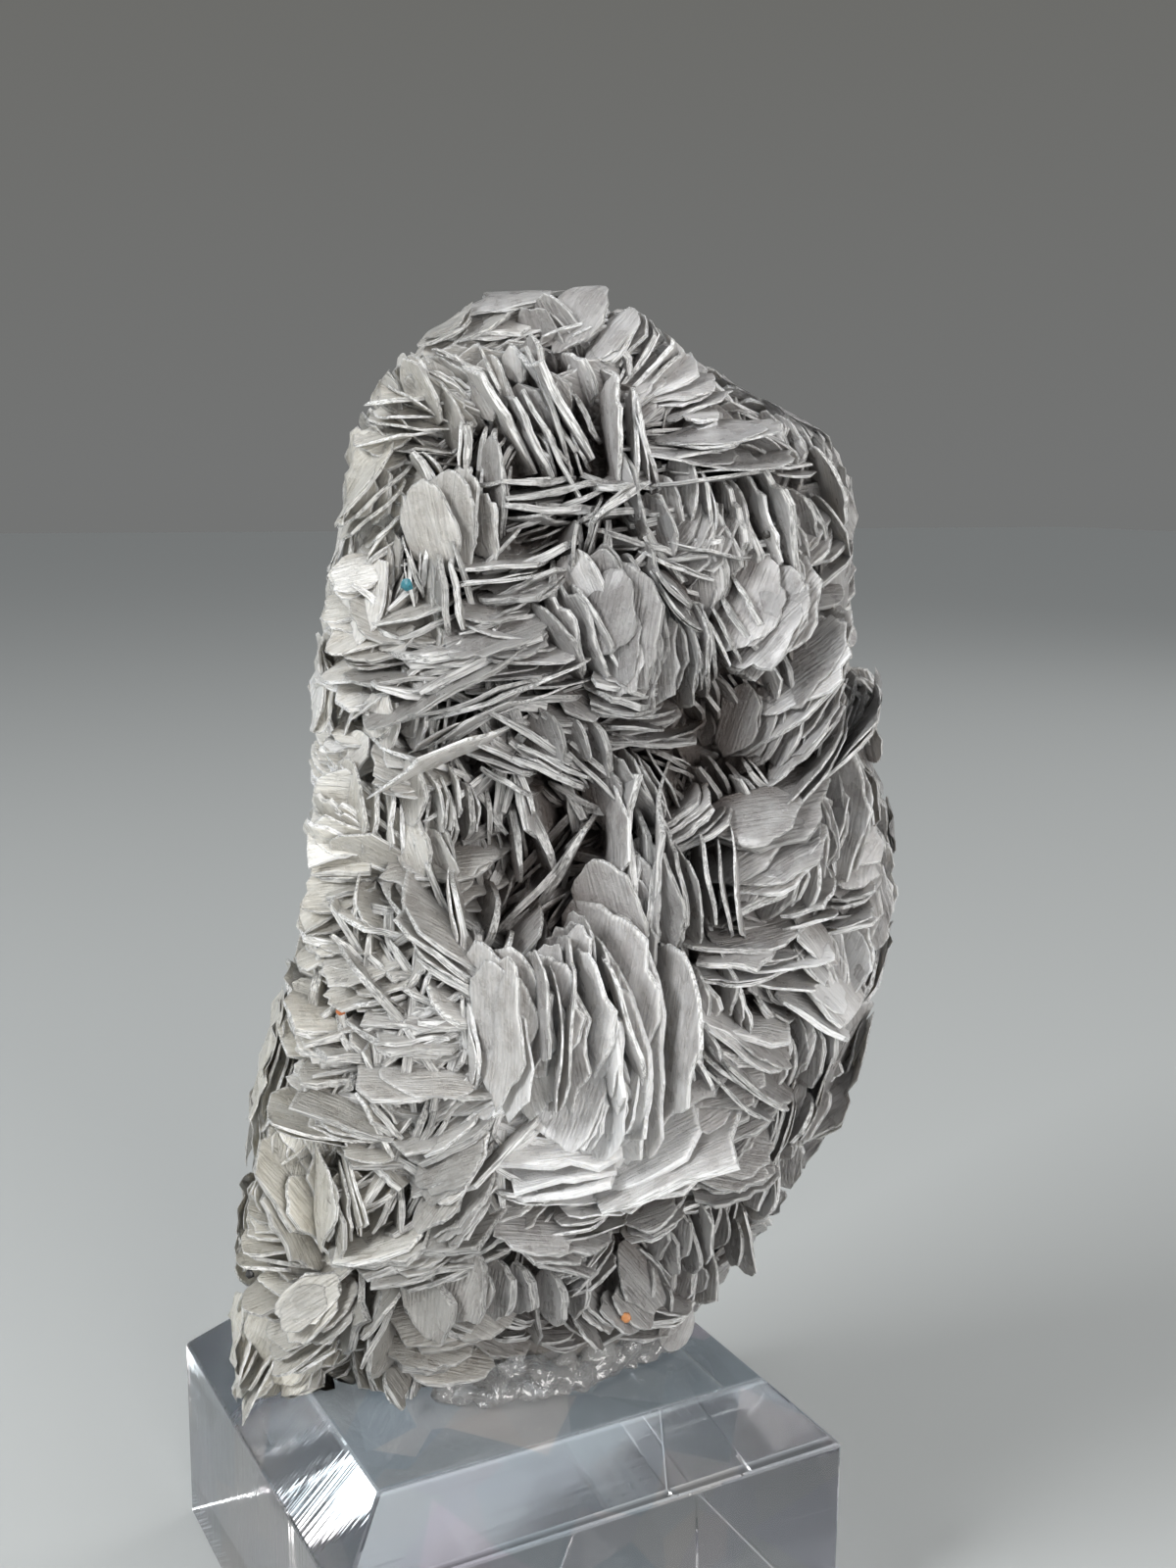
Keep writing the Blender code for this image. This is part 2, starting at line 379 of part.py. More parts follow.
def add_book(bm, tip, along, normal, half_length, reach, thickness):
    """One book as a six-sided plate: its rim's middle is the tip, and it runs back from there."""
    out = along.cross(normal)
    reach = max(reach, LEAST_REACH)
    thickness = min(max(thickness, LEAST_THICKNESS), MOST_THICKNESS)
    frame = Matrix((along * half_length, out * reach, normal * thickness)).transposed()
    made = bmesh.ops.create_cone(
        bm, cap_ends=True, segments=BOOK_SIDES, radius1=1.0, radius2=0.93, depth=1.0
    )
    place = Matrix.Translation(tip - out * reach) @ frame.to_4x4()
    bmesh.ops.transform(bm, matrix=place, verts=made["verts"])


def add_face_books(bm):
    for books in FACE_BOOKS.values():
        for x, height, edge, opened, half_length, reach, plates, spacing, _, forward in books:
            if half_length < SMALLEST_BOOK:
                continue
            edge, opened = math.radians(edge), math.radians(opened)
            along = Vector((math.cos(edge), 0, math.sin(edge)))
            across = Vector((-math.sin(edge), 0, math.cos(edge)))
            normal = across * math.cos(opened) + Vector((0, -1, 0)) * math.sin(opened)
            tip = place_on_face(x, height, forward)
            add_book(bm, tip, along, normal, half_length, reach, plates * spacing * 0.85)


def add_back_books(bm):
    """Books round the sides and back, each turned its own way."""
    chance = random.Random(SEED)
    for row in range(BACK_ROWS):
        height = BACK_LOWEST + (BACK_HIGHEST - BACK_LOWEST) * (row + 0.5) / BACK_ROWS
        for column in range(BACK_BOOKS_A_ROW):
            share = (column + 0.5 * (row % 2) + chance.uniform(0.1, 0.5)) / BACK_BOOKS_A_ROW
            angle = BACK_FIRST_ANGLE + (BACK_LAST_ANGLE - BACK_FIRST_ANGLE) * share
            level = height + chance.uniform(-2.5, 2.5)
            middle, half_width, centre, half_depth = section_at(level)
            out = Vector((math.cos(angle), math.sin(angle), chance.uniform(-0.3, 0.3)))
            tip = Vector((middle + out.x * half_width, centre + out.y * half_depth, level))
            side = Vector((-out.y, out.x, 0)).normalized()
            twist = chance.uniform(0, math.pi)
            along = (side * math.cos(twist) + Vector((0, 0, 1)) * math.sin(twist)).normalized()
            lean = chance.uniform(-0.9, 0.9)
            flat = along.cross(out.normalized()).normalized()
            normal = (flat + out.normalized() * lean).normalized()
            normal = (normal - along * normal.dot(along)).normalized()
            if along.cross(normal).dot(out) < 0:
                along = -along
            size = chance.uniform(4.6, 7.4)
            add_book(bm, tip, along, normal, size, size * 0.75, chance.uniform(1.8, 3.4))


def keep_largest_piece(made):
    """Removes crumbs that the cuts left loose."""
    bm = bmesh.new()
    bm.from_mesh(made.data)
    unseen, pieces = set(bm.verts), []
    while unseen:
        piece, edge_of_search = set(), [unseen.pop()]
        while edge_of_search:
            vert = edge_of_search.pop()
            piece.add(vert)
            for edge in vert.link_edges:
                other = edge.other_vert(vert)
                if other in unseen:
                    unseen.discard(other)
                    edge_of_search.append(other)
        pieces.append(piece)
    largest = max(pieces, key=len)
    bmesh.ops.delete(bm, geom=[v for v in bm.verts if v not in largest], context="VERTS")
    bm.to_mesh(made.data)
    bm.free()
    return len(pieces) - 1


def bake_modifiers(made):
    """Replaces an object's mesh by what its modifiers make of it."""
    bpy.context.view_layer.update()
    evaluated = made.evaluated_get(bpy.context.evaluated_depsgraph_get())
    mesh = bpy.data.meshes.new_from_object(evaluated)
    made.modifiers.clear()
    made.data = mesh


def main():
    for old in list(bpy.data.objects):
        bpy.data.objects.remove(old)
    pieces = new_collection("mica_crystal")
    helpers = new_collection("cutters")

    acrylic = new_material("clear acrylic", (0.95, 0.97, 0.98), 0.02, 1.0, 1.49)
    glue = new_material("clear adhesive", (0.95, 0.96, 0.95), 0.06, 1.0, 1.47)
    mica = new_material("silvery mica", (0.56, 0.53, 0.49), 0.42)

    finished_object("acrylic_block", block_mesh(), pieces, material=acrylic)

    adhesive = finished_object("clear_adhesive", pad_mesh(), pieces, FACE_TURN, glue)
    lumps = as_helper(finished_object("adhesive_lumps", lumps_mesh(), helpers, FACE_TURN))
    add_boolean(adhesive, "UNION", lumps, use_self=True)

    cluster = finished_object("mica_cluster", core_mesh(), pieces, FACE_TURN, mica)
    books = bmesh.new()
    add_face_books(books)
    add_back_books(books)
    grown = as_helper(finished_object("mica_books", books, helpers, FACE_TURN))
    add_boolean(cluster, "UNION", grown, use_self=True)
    pad_clearance = as_helper(finished_object("pad_clearance", pad_mesh(GAP), helpers, FACE_TURN))
    lump_clearance = as_helper(
        finished_object("lump_clearance", lumps_mesh(GAP), helpers, FACE_TURN)
    )
    add_boolean(pad_clearance, "UNION", lump_clearance, use_self=True)
    bake_modifiers(pad_clearance)
    block_clearance = as_helper(finished_object("block_clearance", block_mesh(GAP), helpers))
    add_boolean(cluster, "DIFFERENCE", pad_clearance, use_self=True)
    add_boolean(cluster, "DIFFERENCE", block_clearance)
    bake_modifiers(cluster)
    crumbs = keep_largest_piece(cluster)
    print(f"mica_cluster: {len(cluster.data.polygons)} faces, {crumbs} crumbs removed")


main()
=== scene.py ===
# %% [markdown]
# # A bladed mica cluster on a clear block
# Mica grows in thin sheets. Here thousands of small rounded plates stand on edge, grown together
# in leaning books, and the whole cluster is fixed with clear adhesive on a bevelled acrylic block.
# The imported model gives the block, the adhesive and a coarse cluster in one frame, in metres.
# This script grows the fine plates in the coarse cluster's place, and finishes every surface.

# %% Load the frame
import math
import random

import bmesh
import bpy
import numpy as np
from mathutils import Matrix, Vector, noise
from mathutils.kdtree import KDTree


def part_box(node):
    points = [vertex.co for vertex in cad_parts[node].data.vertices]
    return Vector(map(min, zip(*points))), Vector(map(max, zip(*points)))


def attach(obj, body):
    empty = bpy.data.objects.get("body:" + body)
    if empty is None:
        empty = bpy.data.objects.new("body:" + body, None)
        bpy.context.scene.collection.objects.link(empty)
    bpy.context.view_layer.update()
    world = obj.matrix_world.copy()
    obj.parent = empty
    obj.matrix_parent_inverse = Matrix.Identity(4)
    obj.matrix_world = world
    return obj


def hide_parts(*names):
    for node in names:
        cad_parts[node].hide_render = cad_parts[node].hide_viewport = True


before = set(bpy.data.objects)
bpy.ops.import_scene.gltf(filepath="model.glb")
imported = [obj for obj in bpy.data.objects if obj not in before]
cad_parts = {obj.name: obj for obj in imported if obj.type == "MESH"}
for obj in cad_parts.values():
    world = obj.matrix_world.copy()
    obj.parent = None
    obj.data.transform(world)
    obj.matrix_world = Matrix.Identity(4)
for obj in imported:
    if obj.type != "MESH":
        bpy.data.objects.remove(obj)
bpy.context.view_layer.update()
block_low, block_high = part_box("acrylic_block")
scene = bpy.context.scene
MM = 0.001
noise.seed_set(1)  # otherwise the clock shifts noise_vector, and no two runs are alike
print("nodes:", sorted(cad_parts))


def placed(name, bm):
    """The bmesh as an object at the origin, in the scene."""
    mesh = bpy.data.meshes.new(name)
    bm.to_mesh(mesh)
    bm.free()
    piece = bpy.data.objects.new(name, mesh)
    scene.collection.objects.link(piece)
    return piece

# %% [markdown]
# ## Camera
# The camera looks a little down on the block's corner from close by, with a lens near a phone's.
# Its place is worked out in the cluster's own frame, in which the broad face looks along -Y, and is
# then turned with the cluster. A roll of half a degree keeps the block's edges at their slant.

# %% Camera
FACE_TURN = math.radians(-28.5)
EYE = Vector((8.47, -153.06, 109.45))
LOOKS_DOWN = math.radians(10.42)
ROLL = math.radians(0.61)
LENS_MM = 38.3

camera_data = bpy.data.cameras.new("camera")
camera_data.lens = LENS_MM
camera_data.clip_start = 0.01
camera = bpy.data.objects.new("camera", camera_data)
scene.collection.objects.link(camera)
turned = Matrix.Rotation(FACE_TURN, 4, "Z")
camera.matrix_world = (
    turned
    @ Matrix.Translation(EYE * MM)
    @ Matrix.Rotation(math.pi / 2 - LOOKS_DOWN, 4, "X")
    @ Matrix.Rotation(ROLL, 4, "Z")
)
scene.camera = camera
print("camera at", [round(v, 4) for v in camera.matrix_world.translation])

# %% [markdown]
# ## Stage and light
# A plain pale floor carries the block. One large soft lamp from the upper left models the plates,
# a wider one on the right and a weak one behind fill in, and a dim sky fills the gaps. Large lamps
# keep the shadows between the plates soft at their edges. The sky is bright overhead, where the
# pearly faces mirror it. A film of air stays under the block, as under anything polished: without
# it the block's sides would lose their mirror.

# %% Stage
FLOOR_SIDE = 6.0
FILM_OF_AIR = 0.15 * MM

bm = bmesh.new()
bmesh.ops.create_grid(bm, x_segments=1, y_segments=1, size=FLOOR_SIDE / 2)
bmesh.ops.translate(bm, vec=(0, 0, -FILM_OF_AIR), verts=bm.verts)
floor = placed("floor", bm)

floor_material = bpy.data.materials.new("floor_paint")
floor_material.use_nodes = True
paint = floor_material.node_tree.nodes["Principled BSDF"]
paint.inputs["Base Color"].default_value = (0.50, 0.517, 0.512, 1)
paint.inputs["Roughness"].default_value = 0.75
floor.data.materials.append(floor_material)

# %% [markdown]
# Light turns many times inside a clear block before it leaves by a bevel. With the usual few
# bounces such a path is cut short and the bevel goes black, so the scene allows more of them.

# %% Light
BOUNCES = 20
CLUSTER_MIDDLE = Vector((5, 0, 75))
LAMPS = (  # name, place in the cluster's frame and side in millimetres, power in watts, colour
    ("key_lamp", (-470, -330, 430), 260, 4.1, (0.975, 0.99, 1.0)),
    ("fill_lamp", (330, -600, 180), 380, 4.3, (1.0, 0.98, 0.96)),
    ("back_lamp", (560, 460, 640), 420, 1.6, (1.0, 1.0, 1.0)),
)

for name, place, side, power, colour in LAMPS:
    data = bpy.data.lights.new(name, "AREA")
    data.shape = "SQUARE"
    data.size = side * MM
    data.energy = power
    data.color = colour
    lamp = bpy.data.objects.new(name, data)
    scene.collection.objects.link(lamp)
    facing = (Vector(place) - CLUSTER_MIDDLE).to_track_quat("Z", "Y").to_matrix().to_4x4()
    lamp.matrix_world = turned @ Matrix.Translation(Vector(place) * MM) @ facing

SKY_STOPS = (  # share of the way from nadir to zenith, and the colour there
    (0.50, (0.172, 0.175, 0.173)),
    (0.63, (0.150, 0.150, 0.142)),
    (0.76, (0.120, 0.123, 0.125)),
    (0.95, (0.56, 0.57, 0.58)),
)
world = bpy.data.worlds.new("studio")
scene.world = world
world.use_nodes = True
sky = world.node_tree.nodes["Background"]
nodes, links = world.node_tree.nodes, world.node_tree.links
ramp = nodes.new("ShaderNodeValToRGB")
for position, _ in SKY_STOPS[1:-1]:
    ramp.color_ramp.elements.new(position)
for element, (position, colour) in zip(ramp.color_ramp.elements, SKY_STOPS):
    element.position = position
    element.color = (*colour, 1)
split = nodes.new("ShaderNodeSeparateXYZ")
coords = nodes.new("ShaderNodeTexCoord")
lift = nodes.new("ShaderNodeMapRange")
lift.inputs["From Min"].default_value = -1
links.new(coords.outputs["Generated"], split.inputs[0])
links.new(split.outputs["Z"], lift.inputs["Value"])
links.new(lift.outputs["Result"], ramp.inputs["Fac"])
links.new(ramp.outputs["Color"], sky.inputs["Color"])
sky.inputs["Strength"].default_value = 1.0
scene.view_settings.view_transform = "Standard"
scene.cycles.max_bounces = BOUNCES
scene.cycles.glossy_bounces = BOUNCES
scene.cycles.transmission_bounces = BOUNCES

# %% [markdown]
# ## The cluster's outline
# The cluster stands like a leaning slab with a domed crown and a narrow foot. Its outline is a
# short table: at each height, how far the plates' tips reach to the left, right, front and back.
# A superellipse through those four reaches gives the section. Plates are placed on this surface,
# so the cluster keeps the coarse solid's shape from every side.

# %% Outline of the cluster, in millimetres
ENVELOPE = (  # height, left, right, front and back of the plates' tips
    (24, -25.0, 19.5, -13.0, 13.0),
    (32, -25.0, 21.5, -16.0, 15.0),
    (42, -24.0, 27.0, -19.0, 17.0),
    (52, -22.5, 32.0, -21.0, 18.0),
    (62, -19.5, 35.0, -21.0, 18.5),
    (72, -17.5, 37.0, -20.0, 18.0),
    (81, -16.5, 35.5, -18.5, 17.0),
    (91, -16.0, 34.5, -18.0, 16.0),
    (100, -14.5, 31.5, -17.0, 15.0),
    (108, -12.5, 31.5, -15.0, 13.0),
    (113, -12.0, 29.0, -13.0, 12.0),
    (117, -9.5, 21.0, -11.0, 10.0),
    (121, -6.0, 14.5, -8.0, 7.0),
    (124.6, 0.0, 9.0, -4.0, 4.0),
)
SECTION_POWER = 2.4
HOLLOWS = ((5.0, 77.0, 7.5, 5.0), (21.5, 86.5, 6.0, 4.5))  # x, height, radius, depth
LAYOUT_EYE = Vector((8.5, -153.1, 109.4))  # places on the face are laid out as seen from here


def section_at(height):
    """Middle x, half width, middle y and half depth of the outline at a height."""
    rows = ENVELOPE
    height = min(max(height, rows[0][0]), rows[-1][0])
    upper = next(i for i in range(1, len(rows)) if rows[i][0] >= height)
    low, high = rows[upper - 1], rows[upper]
    share = (height - low[0]) / (high[0] - low[0])
    left, right, front, back = (a + (b - a) * share for a, b in zip(low[1:], high[1:]))
    return (left + right) / 2, (right - left) / 2, (front + back) / 2, (back - front) / 2


def front_of(x, height):
    """How far forward the outline's front is at this place, with its hollows."""
    middle, half_width, centre, half_depth = section_at(height)
    across = min(abs(x - middle) / half_width, 0.97)
    depth = half_depth * (1 - across**SECTION_POWER) ** (1 / SECTION_POWER)
    sunk = sum(
        deep * math.exp(-((x - hx) ** 2 + (height - hz) ** 2) / radius**2)
        for hx, hz, radius, deep in HOLLOWS
    )
    return centre - depth + sunk


def place_on_face(x, height, forward):
    """The point of the front that covers (x, height) of the plane y = 0, as seen from the eye."""
    aim = Vector((x, 0.0, height)) - LAYOUT_EYE
    point = LAYOUT_EYE + aim
    for _ in range(6):
        depth = front_of(point.x, point.z) - forward
        point = LAYOUT_EYE + aim * ((depth - LAYOUT_EYE.y) / -LAYOUT_EYE.y)
    return point


def place_on_side(angle, height, inward=0.0):
    """The point of the outline at this angle about its middle, sunk in by a few millimetres."""
    middle, half_width, centre, half_depth = section_at(height)
    power = 2 / SECTION_POWER
    cos, sin = math.cos(angle), math.sin(angle)
    x = middle + math.copysign(abs(cos) ** power, cos) * max(half_width - inward, 1)
    y = centre + math.copysign(abs(sin) ** power, sin) * max(half_depth - inward, 1)
    if sin < 0:
        y = max(y, front_of(x, height) + inward)
    return Vector((x, y, height))


def outward_at(angle, height):
    """Which way the outline faces there."""
    around = place_on_side(angle + 0.05, height) - place_on_side(angle - 0.05, height)
    up = place_on_side(angle, height + 1.5) - place_on_side(angle, height - 1.5)
    return around.cross(up).normalized()


STAND_OUT = 0.1  # tips pass the outline by this much before they are held back
GIVE = 1.1  # and, however long they are, by no more than this beyond it
WAVES_MM = 0.5  # the outline itself waves in and out by this much
CLUSTER_TOP = ENVELOPE[-1][0]


def held_back(excess):
    """How far a tip stands out that would stand out by the excess."""
    return np.where(excess > 0, GIVE * (1 - np.exp(-np.maximum(excess, 0) / GIVE)), excess)


def reaches_at(heights):
    """How far the outline reaches to the left, right, front and back, for an array of heights."""
    rows = np.array(ENVELOPE)
    return (np.interp(heights, rows[:, 0], rows[:, i]) for i in range(1, 5))


def trimmed_to_outline(points):
    """Points past the outline's left, right, back or top brought in to a rough edge. Those in
    front are brought in a little more, as they are nearer to the eye."""
    left, right, _, back = reaches_at(points[:, 2])
    waves = np.sin(points[:, 2] * 2.1 + points[:, 1]) * np.sin(points[:, 2] * 0.7)
    rough = STAND_OUT + WAVES_MM * waves
    nearer = np.minimum(1 - points[:, 1] / LAYOUT_EYE.y, 1)
    left = LAYOUT_EYE.x + (left - rough - LAYOUT_EYE.x) * nearer
    right = LAYOUT_EYE.x + (right + rough - LAYOUT_EYE.x) * nearer
    points[:, 0] = left - held_back(left - points[:, 0])
    points[:, 0] = right + held_back(points[:, 0] - right)
    points[:, 1] = back + rough + held_back(points[:, 1] - back - rough)
    points[:, 2] = CLUSTER_TOP + held_back(points[:, 2] - CLUSTER_TOP)
    return points


print("at mid height the section is", [round(v, 1) for v in section_at(75)])

# %% [markdown]
# ## The plates
# One plate is a flake with a rounded six-sided outline, chipped along its rim and sometimes broken
# straight across. It is made from a filled circle: the outline is pulled towards a hexagon, the
# face is extruded to a thickness, the rim is left thinner than the middle, and both faces get
# inset rings so that the plate can bend. Twenty forms of each kind are enough, because every copy
# is stretched, bent and turned in its own way. Copies are kept light, as there are thousands.

# %% One plate form, a unit across and a unit thick
RIM_EDGE = 0.75  # the rim's thickness as a share of the plate's
RINGS = ((0.94, 0.70), (0.55, 0.25))  # scale of each ring, and the rim share it is given
TAPER = 0.6  # how much thinner a plate is at its two ends
NOTCHED = 0.08  # the share of the rim that is nicked
NICK = 0.09  # how deep a nick is, in half plates
SWELL = 1.08  # a hexagon this much larger has about the circle's area
LOBES = ((0.20, 1.1), (0.15, 3.2))  # height and frequency of the waves in the outline


def outline_at(angle, turn, roundness, breaks, seed):
    """How far the outline is from the middle: a hexagon with lobes and straight broken sides."""
    sector = (angle + turn) % (math.pi / 3) - math.pi / 6
    hexagon = math.cos(math.pi / 6) / math.cos(sector) * SWELL
    around = Vector((math.cos(angle), math.sin(angle), seed * 3.7))
    lobes = 1.0
    for height, often in LOBES:
        lobes += height * noise.noise(around * often)
    reach = (roundness + (1 - roundness) * hexagon) * lobes
    for direction, distance in breaks:
        facing = math.cos(angle - direction)
        if facing > 0.05:
            reach = min(reach, distance / facing)
    return reach


def plate_form(sides, rings, straight, seed):
    """A bmesh of a plate in the XY plane, its free edge to +Y. A straight one is a blade."""
    chance = random.Random(seed)
    turn = chance.uniform(0, math.pi / 3)
    roundness = chance.uniform(0.25, 0.95)
    breaks = [
        (chance.uniform(-math.pi, math.pi), chance.uniform(0.68, 0.97))
        for _ in range(chance.randint(0, 2))
    ]
    if straight:
        breaks.append((math.pi / 2 + chance.uniform(-0.12, 0.12), chance.uniform(0.5, 0.7)))
    bm = bmesh.new()
    bmesh.ops.create_circle(bm, cap_ends=True, segments=sides, radius=1.0)
    for vert in bm.verts:
        angle = math.atan2(vert.co.y, vert.co.x)
        chip = 1 + chance.uniform(-0.04, 0.03) - (NICK if chance.random() < NOTCHED else 0)
        vert.co *= outline_at(angle, turn, roundness, breaks, seed) * chip
    widest = max(abs(vert.co.x) for vert in bm.verts)
    highest = max(vert.co.y for vert in bm.verts)
    bmesh.ops.scale(bm, vec=(1 / widest, 1 / highest, 1), verts=bm.verts)
    grown = bmesh.ops.extrude_face_region(bm, geom=bm.faces[:])["geom"]
    lifted = [item for item in grown if isinstance(item, bmesh.types.BMVert)]
    bmesh.ops.translate(bm, vec=(0, 0, 1), verts=lifted)
    bmesh.ops.translate(bm, vec=(0, 0, -0.5), verts=bm.verts)
    bmesh.ops.recalc_face_normals(bm, faces=bm.faces)
    rim = bm.verts.layers.float.new("rim")
    for vert in bm.verts:
        vert[rim] = 1.0
    faces = [face for face in bm.faces if abs(face.normal.z) > 0.9]
    outline = bm.verts[:]
    for scale, share in RINGS[:rings]:
        bmesh.ops.inset_region(bm, faces=faces, thickness=0)
        within = {vert for face in faces for vert in face.verts}
        inner = [vert for vert in bm.verts if vert in within]  # in the mesh's own order
        bmesh.ops.scale(bm, vec=(scale, scale, 1), verts=inner)
        for vert in inner:
            vert[rim] = share
    for vert in outline:
        vert.co.z *= RIM_EDGE * chance.uniform(0.6, 1.3)
    for vert in inner:
        vert.co.z += math.copysign(chance.uniform(-0.16, 0.16), vert.co.z)
    for vert in bm.verts:
        vert.co.z *= 1 - TAPER * abs(vert.co.x) ** 3
    return bm


def corners_of(face):
    """The numbers of a face's corners, from the lowest on, so that every run gives the same."""
    numbers = [vert.index for vert in face.verts]
    first = numbers.index(min(numbers))
    return numbers[first:] + numbers[:first]


def form_arrays(bm):
    """The form as arrays: points, corners of the faces, their counts, flat rims, rim share."""
    bm.verts.index_update()
    layer = bm.verts.layers.float.verify()
    points = np.array([v.co for v in bm.verts], dtype=np.float32)
    faces = sorted(bm.faces, key=corners_of)
    corners = np.array([n for f in faces for n in corners_of(f)], dtype=np.int32)
    counts = np.array([len(f.verts) for f in faces], dtype=np.int32)
    flat = np.array([abs(f.normal.z) < 0.7 for f in faces], dtype=bool)
    rim = np.array([v[layer] for v in bm.verts], dtype=np.float32)
    bm.free()
    return points, corners, counts, flat, rim


# %% The forms: larger plates have more sides and a second ring, and the many small ones few
FORMS = 20  # of each kind


def plate_forms(sides, rings, straight, seed):
    """Twenty plates of a kind, and how many faces one has."""
    forms = [form_arrays(plate_form(sides, rings, straight, seed + i)) for i in range(FORMS)]
    print("faces of a plate:", len(forms[0][2]))
    return forms


LARGE_FORMS = plate_forms(26, 2, False, 100)
MIDDLE_FORMS = plate_forms(20, 1, False, 200)
SMALL_FORMS = plate_forms(13, 1, False, 300)
BLADE_FORMS = plate_forms(18, 1, True, 400)

# %% [markdown]
# ## Gathering plates into pieces
# Thousands of plates as objects of their own would be slow and heavy, so each piece gathers its
# plates' points and faces in arrays and becomes one mesh. With every point go five attributes
# for the finish: the place within the plate in millimetres, which carries the streaks along the
# rim, how near the point is to the rim, the plate's shade, which is its own tone with the painted
# light and shade of its place, its warmth, and how deep in the cluster the point lies, which sets
# the painted shade.

# %% A piece that gathers plates
# Painted shade: a plate is painted darker towards its root, where it runs back into the cluster.
ROOT_SHADE_STARTS = 0.7  # from here, in half plates ahead of the middle, a plate darkens to its root
ROOT_SHADE_DEPTH = 3.4  # as much as if the root lay this much deeper
# Creamy plates and pale ones get less of the painted shade at depth and root.
LESS_SHADE_WHERE_WARM = 0.65
PALE_FROM = 0.8  # a plate paler than this keeps paler roots too


class Gathered:
    """The plates of one piece, as lists of arrays, in the cluster's frame in millimetres."""

    def __init__(self, name):
        self.name = name
        self.points, self.corners, self.counts, self.flat = [], [], [], []
        self.local, self.rim, self.root, self.shade, self.warmth = [], [], [], [], []
        self.total = 0
        self.plates = 0

    def add(self, points, form, local, shade, warmth):
        unit, corners, counts, flat, rim = form
        self.points.append(points)
        self.root.append(np.clip((ROOT_SHADE_STARTS - unit[:, 1]) / (1 + ROOT_SHADE_STARTS), 0, 1))
        self.corners.append(corners + self.total)
        self.counts.append(counts)
        self.flat.append(flat)
        self.local.append(local)
        self.rim.append(rim)
        self.shade.append(np.full(len(points), shade, np.float32))
        self.warmth.append(np.full(len(points), warmth, np.float32))
        self.total += len(points)
        self.plates += 1

    def finish(self, material):
        """The piece as an object at the origin, in metres and turned with the cluster."""
        points = trimmed_to_outline(np.concatenate(self.points))
        # Painted shade: depth in the cluster and nearness to the root darken a plate, less on
        # creamy and pale plates.
        warmth = np.concatenate(self.warmth)  # creamy plates are clearer, so their roots stay pale
        depth = depth_in_cluster(points) + ROOT_SHADE_DEPTH * np.concatenate(self.root)
        depth *= 1 - LESS_SHADE_WHERE_WARM * warmth
        depth *= 1 - np.clip(np.concatenate(self.shade) - PALE_FROM, 0, 0.7)
        points = lifted_off_block(in_part_frame(points))
        counts = np.concatenate(self.counts)
        mesh = bpy.data.meshes.new(self.name)
        mesh.vertices.add(len(points))
        mesh.vertices.foreach_set("co", (points * MM).ravel())
        mesh.loops.add(int(counts.sum()))
        mesh.loops.foreach_set("vertex_index", np.concatenate(self.corners))
        mesh.polygons.add(len(counts))
        starts = np.concatenate(([0], np.cumsum(counts)[:-1])).astype(np.int32)
        mesh.polygons.foreach_set("loop_start", starts)
        mesh.update(calc_edges=True)
        sharp = mesh.attributes.new("sharp_face", "BOOLEAN", "FACE")
        sharp.data.foreach_set("value", np.concatenate(self.flat))
        place = mesh.attributes.new("plate_place", "FLOAT_VECTOR", "POINT")
        place.data.foreach_set("vector", np.concatenate(self.local).ravel())
        for label, values in (("rim", self.rim), ("shade", self.shade), ("warmth", self.warmth)):
            layer = mesh.attributes.new(label, "FLOAT", "POINT")
            layer.data.foreach_set("value", np.concatenate(values).astype(np.float32))
        layer = mesh.attributes.new("depth", "FLOAT", "POINT")
        layer.data.foreach_set("value", depth.astype(np.float32))
        mesh.materials.append(material)
        piece = bpy.data.objects.new(self.name, mesh)
        scene.collection.objects.link(piece)
        triangles = int((counts - 2).sum())
        print(f"{self.name}: {self.plates} plates, {triangles} triangles")
        return piece


# %% Depth in the cluster, and from the cluster's frame to the part's, off the block
LIFT = 0.35  # the plates stay this far off the block
BLOCK_BEVEL = 5.5
# Painted shade: below the first of these heights the painted darkening of deep parts is mostly off,
# above the second it is full.
PALE_FOOT = (27.0, 38.0)  # the heights between which the plates' deep parts turn dark


def depth_in_cluster(points):
    """How many millimetres each point lies inside the cluster's outline, less near the foot. It
    sets the painted shade.
    """
    left, right, front, back = reaches_at(points[:, 2])
    across = np.abs(points[:, 0] - (left + right) / 2) / ((right - left) / 2)
    deep = np.abs(points[:, 1] - (front + back) / 2) / ((back - front) / 2)
    share = (across**SECTION_POWER + deep**SECTION_POWER) ** (1 / SECTION_POWER)
    below_crown = np.clip(CLUSTER_TOP - points[:, 2], 0, None)
    near_foot = np.interp(points[:, 2], PALE_FOOT, (0.2, 1.0))  # light comes up through the block
    return np.minimum((1 - share) * (back - front) / 2, below_crown) * near_foot


def in_part_frame(points):
    cos, sin = math.cos(FACE_TURN), math.sin(FACE_TURN)
    turn = np.array([[cos, -sin, 0], [sin, cos, 0], [0, 0, 1]], dtype=np.float32)
    return points @ turn.T


def lifted_off_block(points):
    """Points over the block raised to its top or its bevel, where they would sink into it."""
    half = np.array(block_high[:2]) / MM
    inside = np.min(half + LIFT - np.abs(points[:, :2]), axis=1)
    surface = block_high[2] / MM - np.clip(BLOCK_BEVEL - inside, 0, BLOCK_BEVEL) + LIFT
    low = (inside > 0) & (points[:, 2] < surface)
    points[low, 2] = surface[low]
    return points


FACE_NAMES = ("mica_face_foot", "mica_face_low", "mica_face_high", "mica_face_crown")
BACK_NAMES = ("mica_back_low", "mica_back_high")
gathered = {name: Gathered(name) for name in FACE_NAMES + BACK_NAMES}
FACE_SPLITS = (53.0, 73.0, 95.0)
BACK_SPLIT = 72.0
BACK_STARTS = 2.0


def piece_for(place):
    """Which piece a plate belongs to."""
    if place.y > BACK_STARTS:
        return gathered[BACK_NAMES[place.z > BACK_SPLIT]]
    return gathered[FACE_NAMES[sum(place.z > split for split in FACE_SPLITS)]]
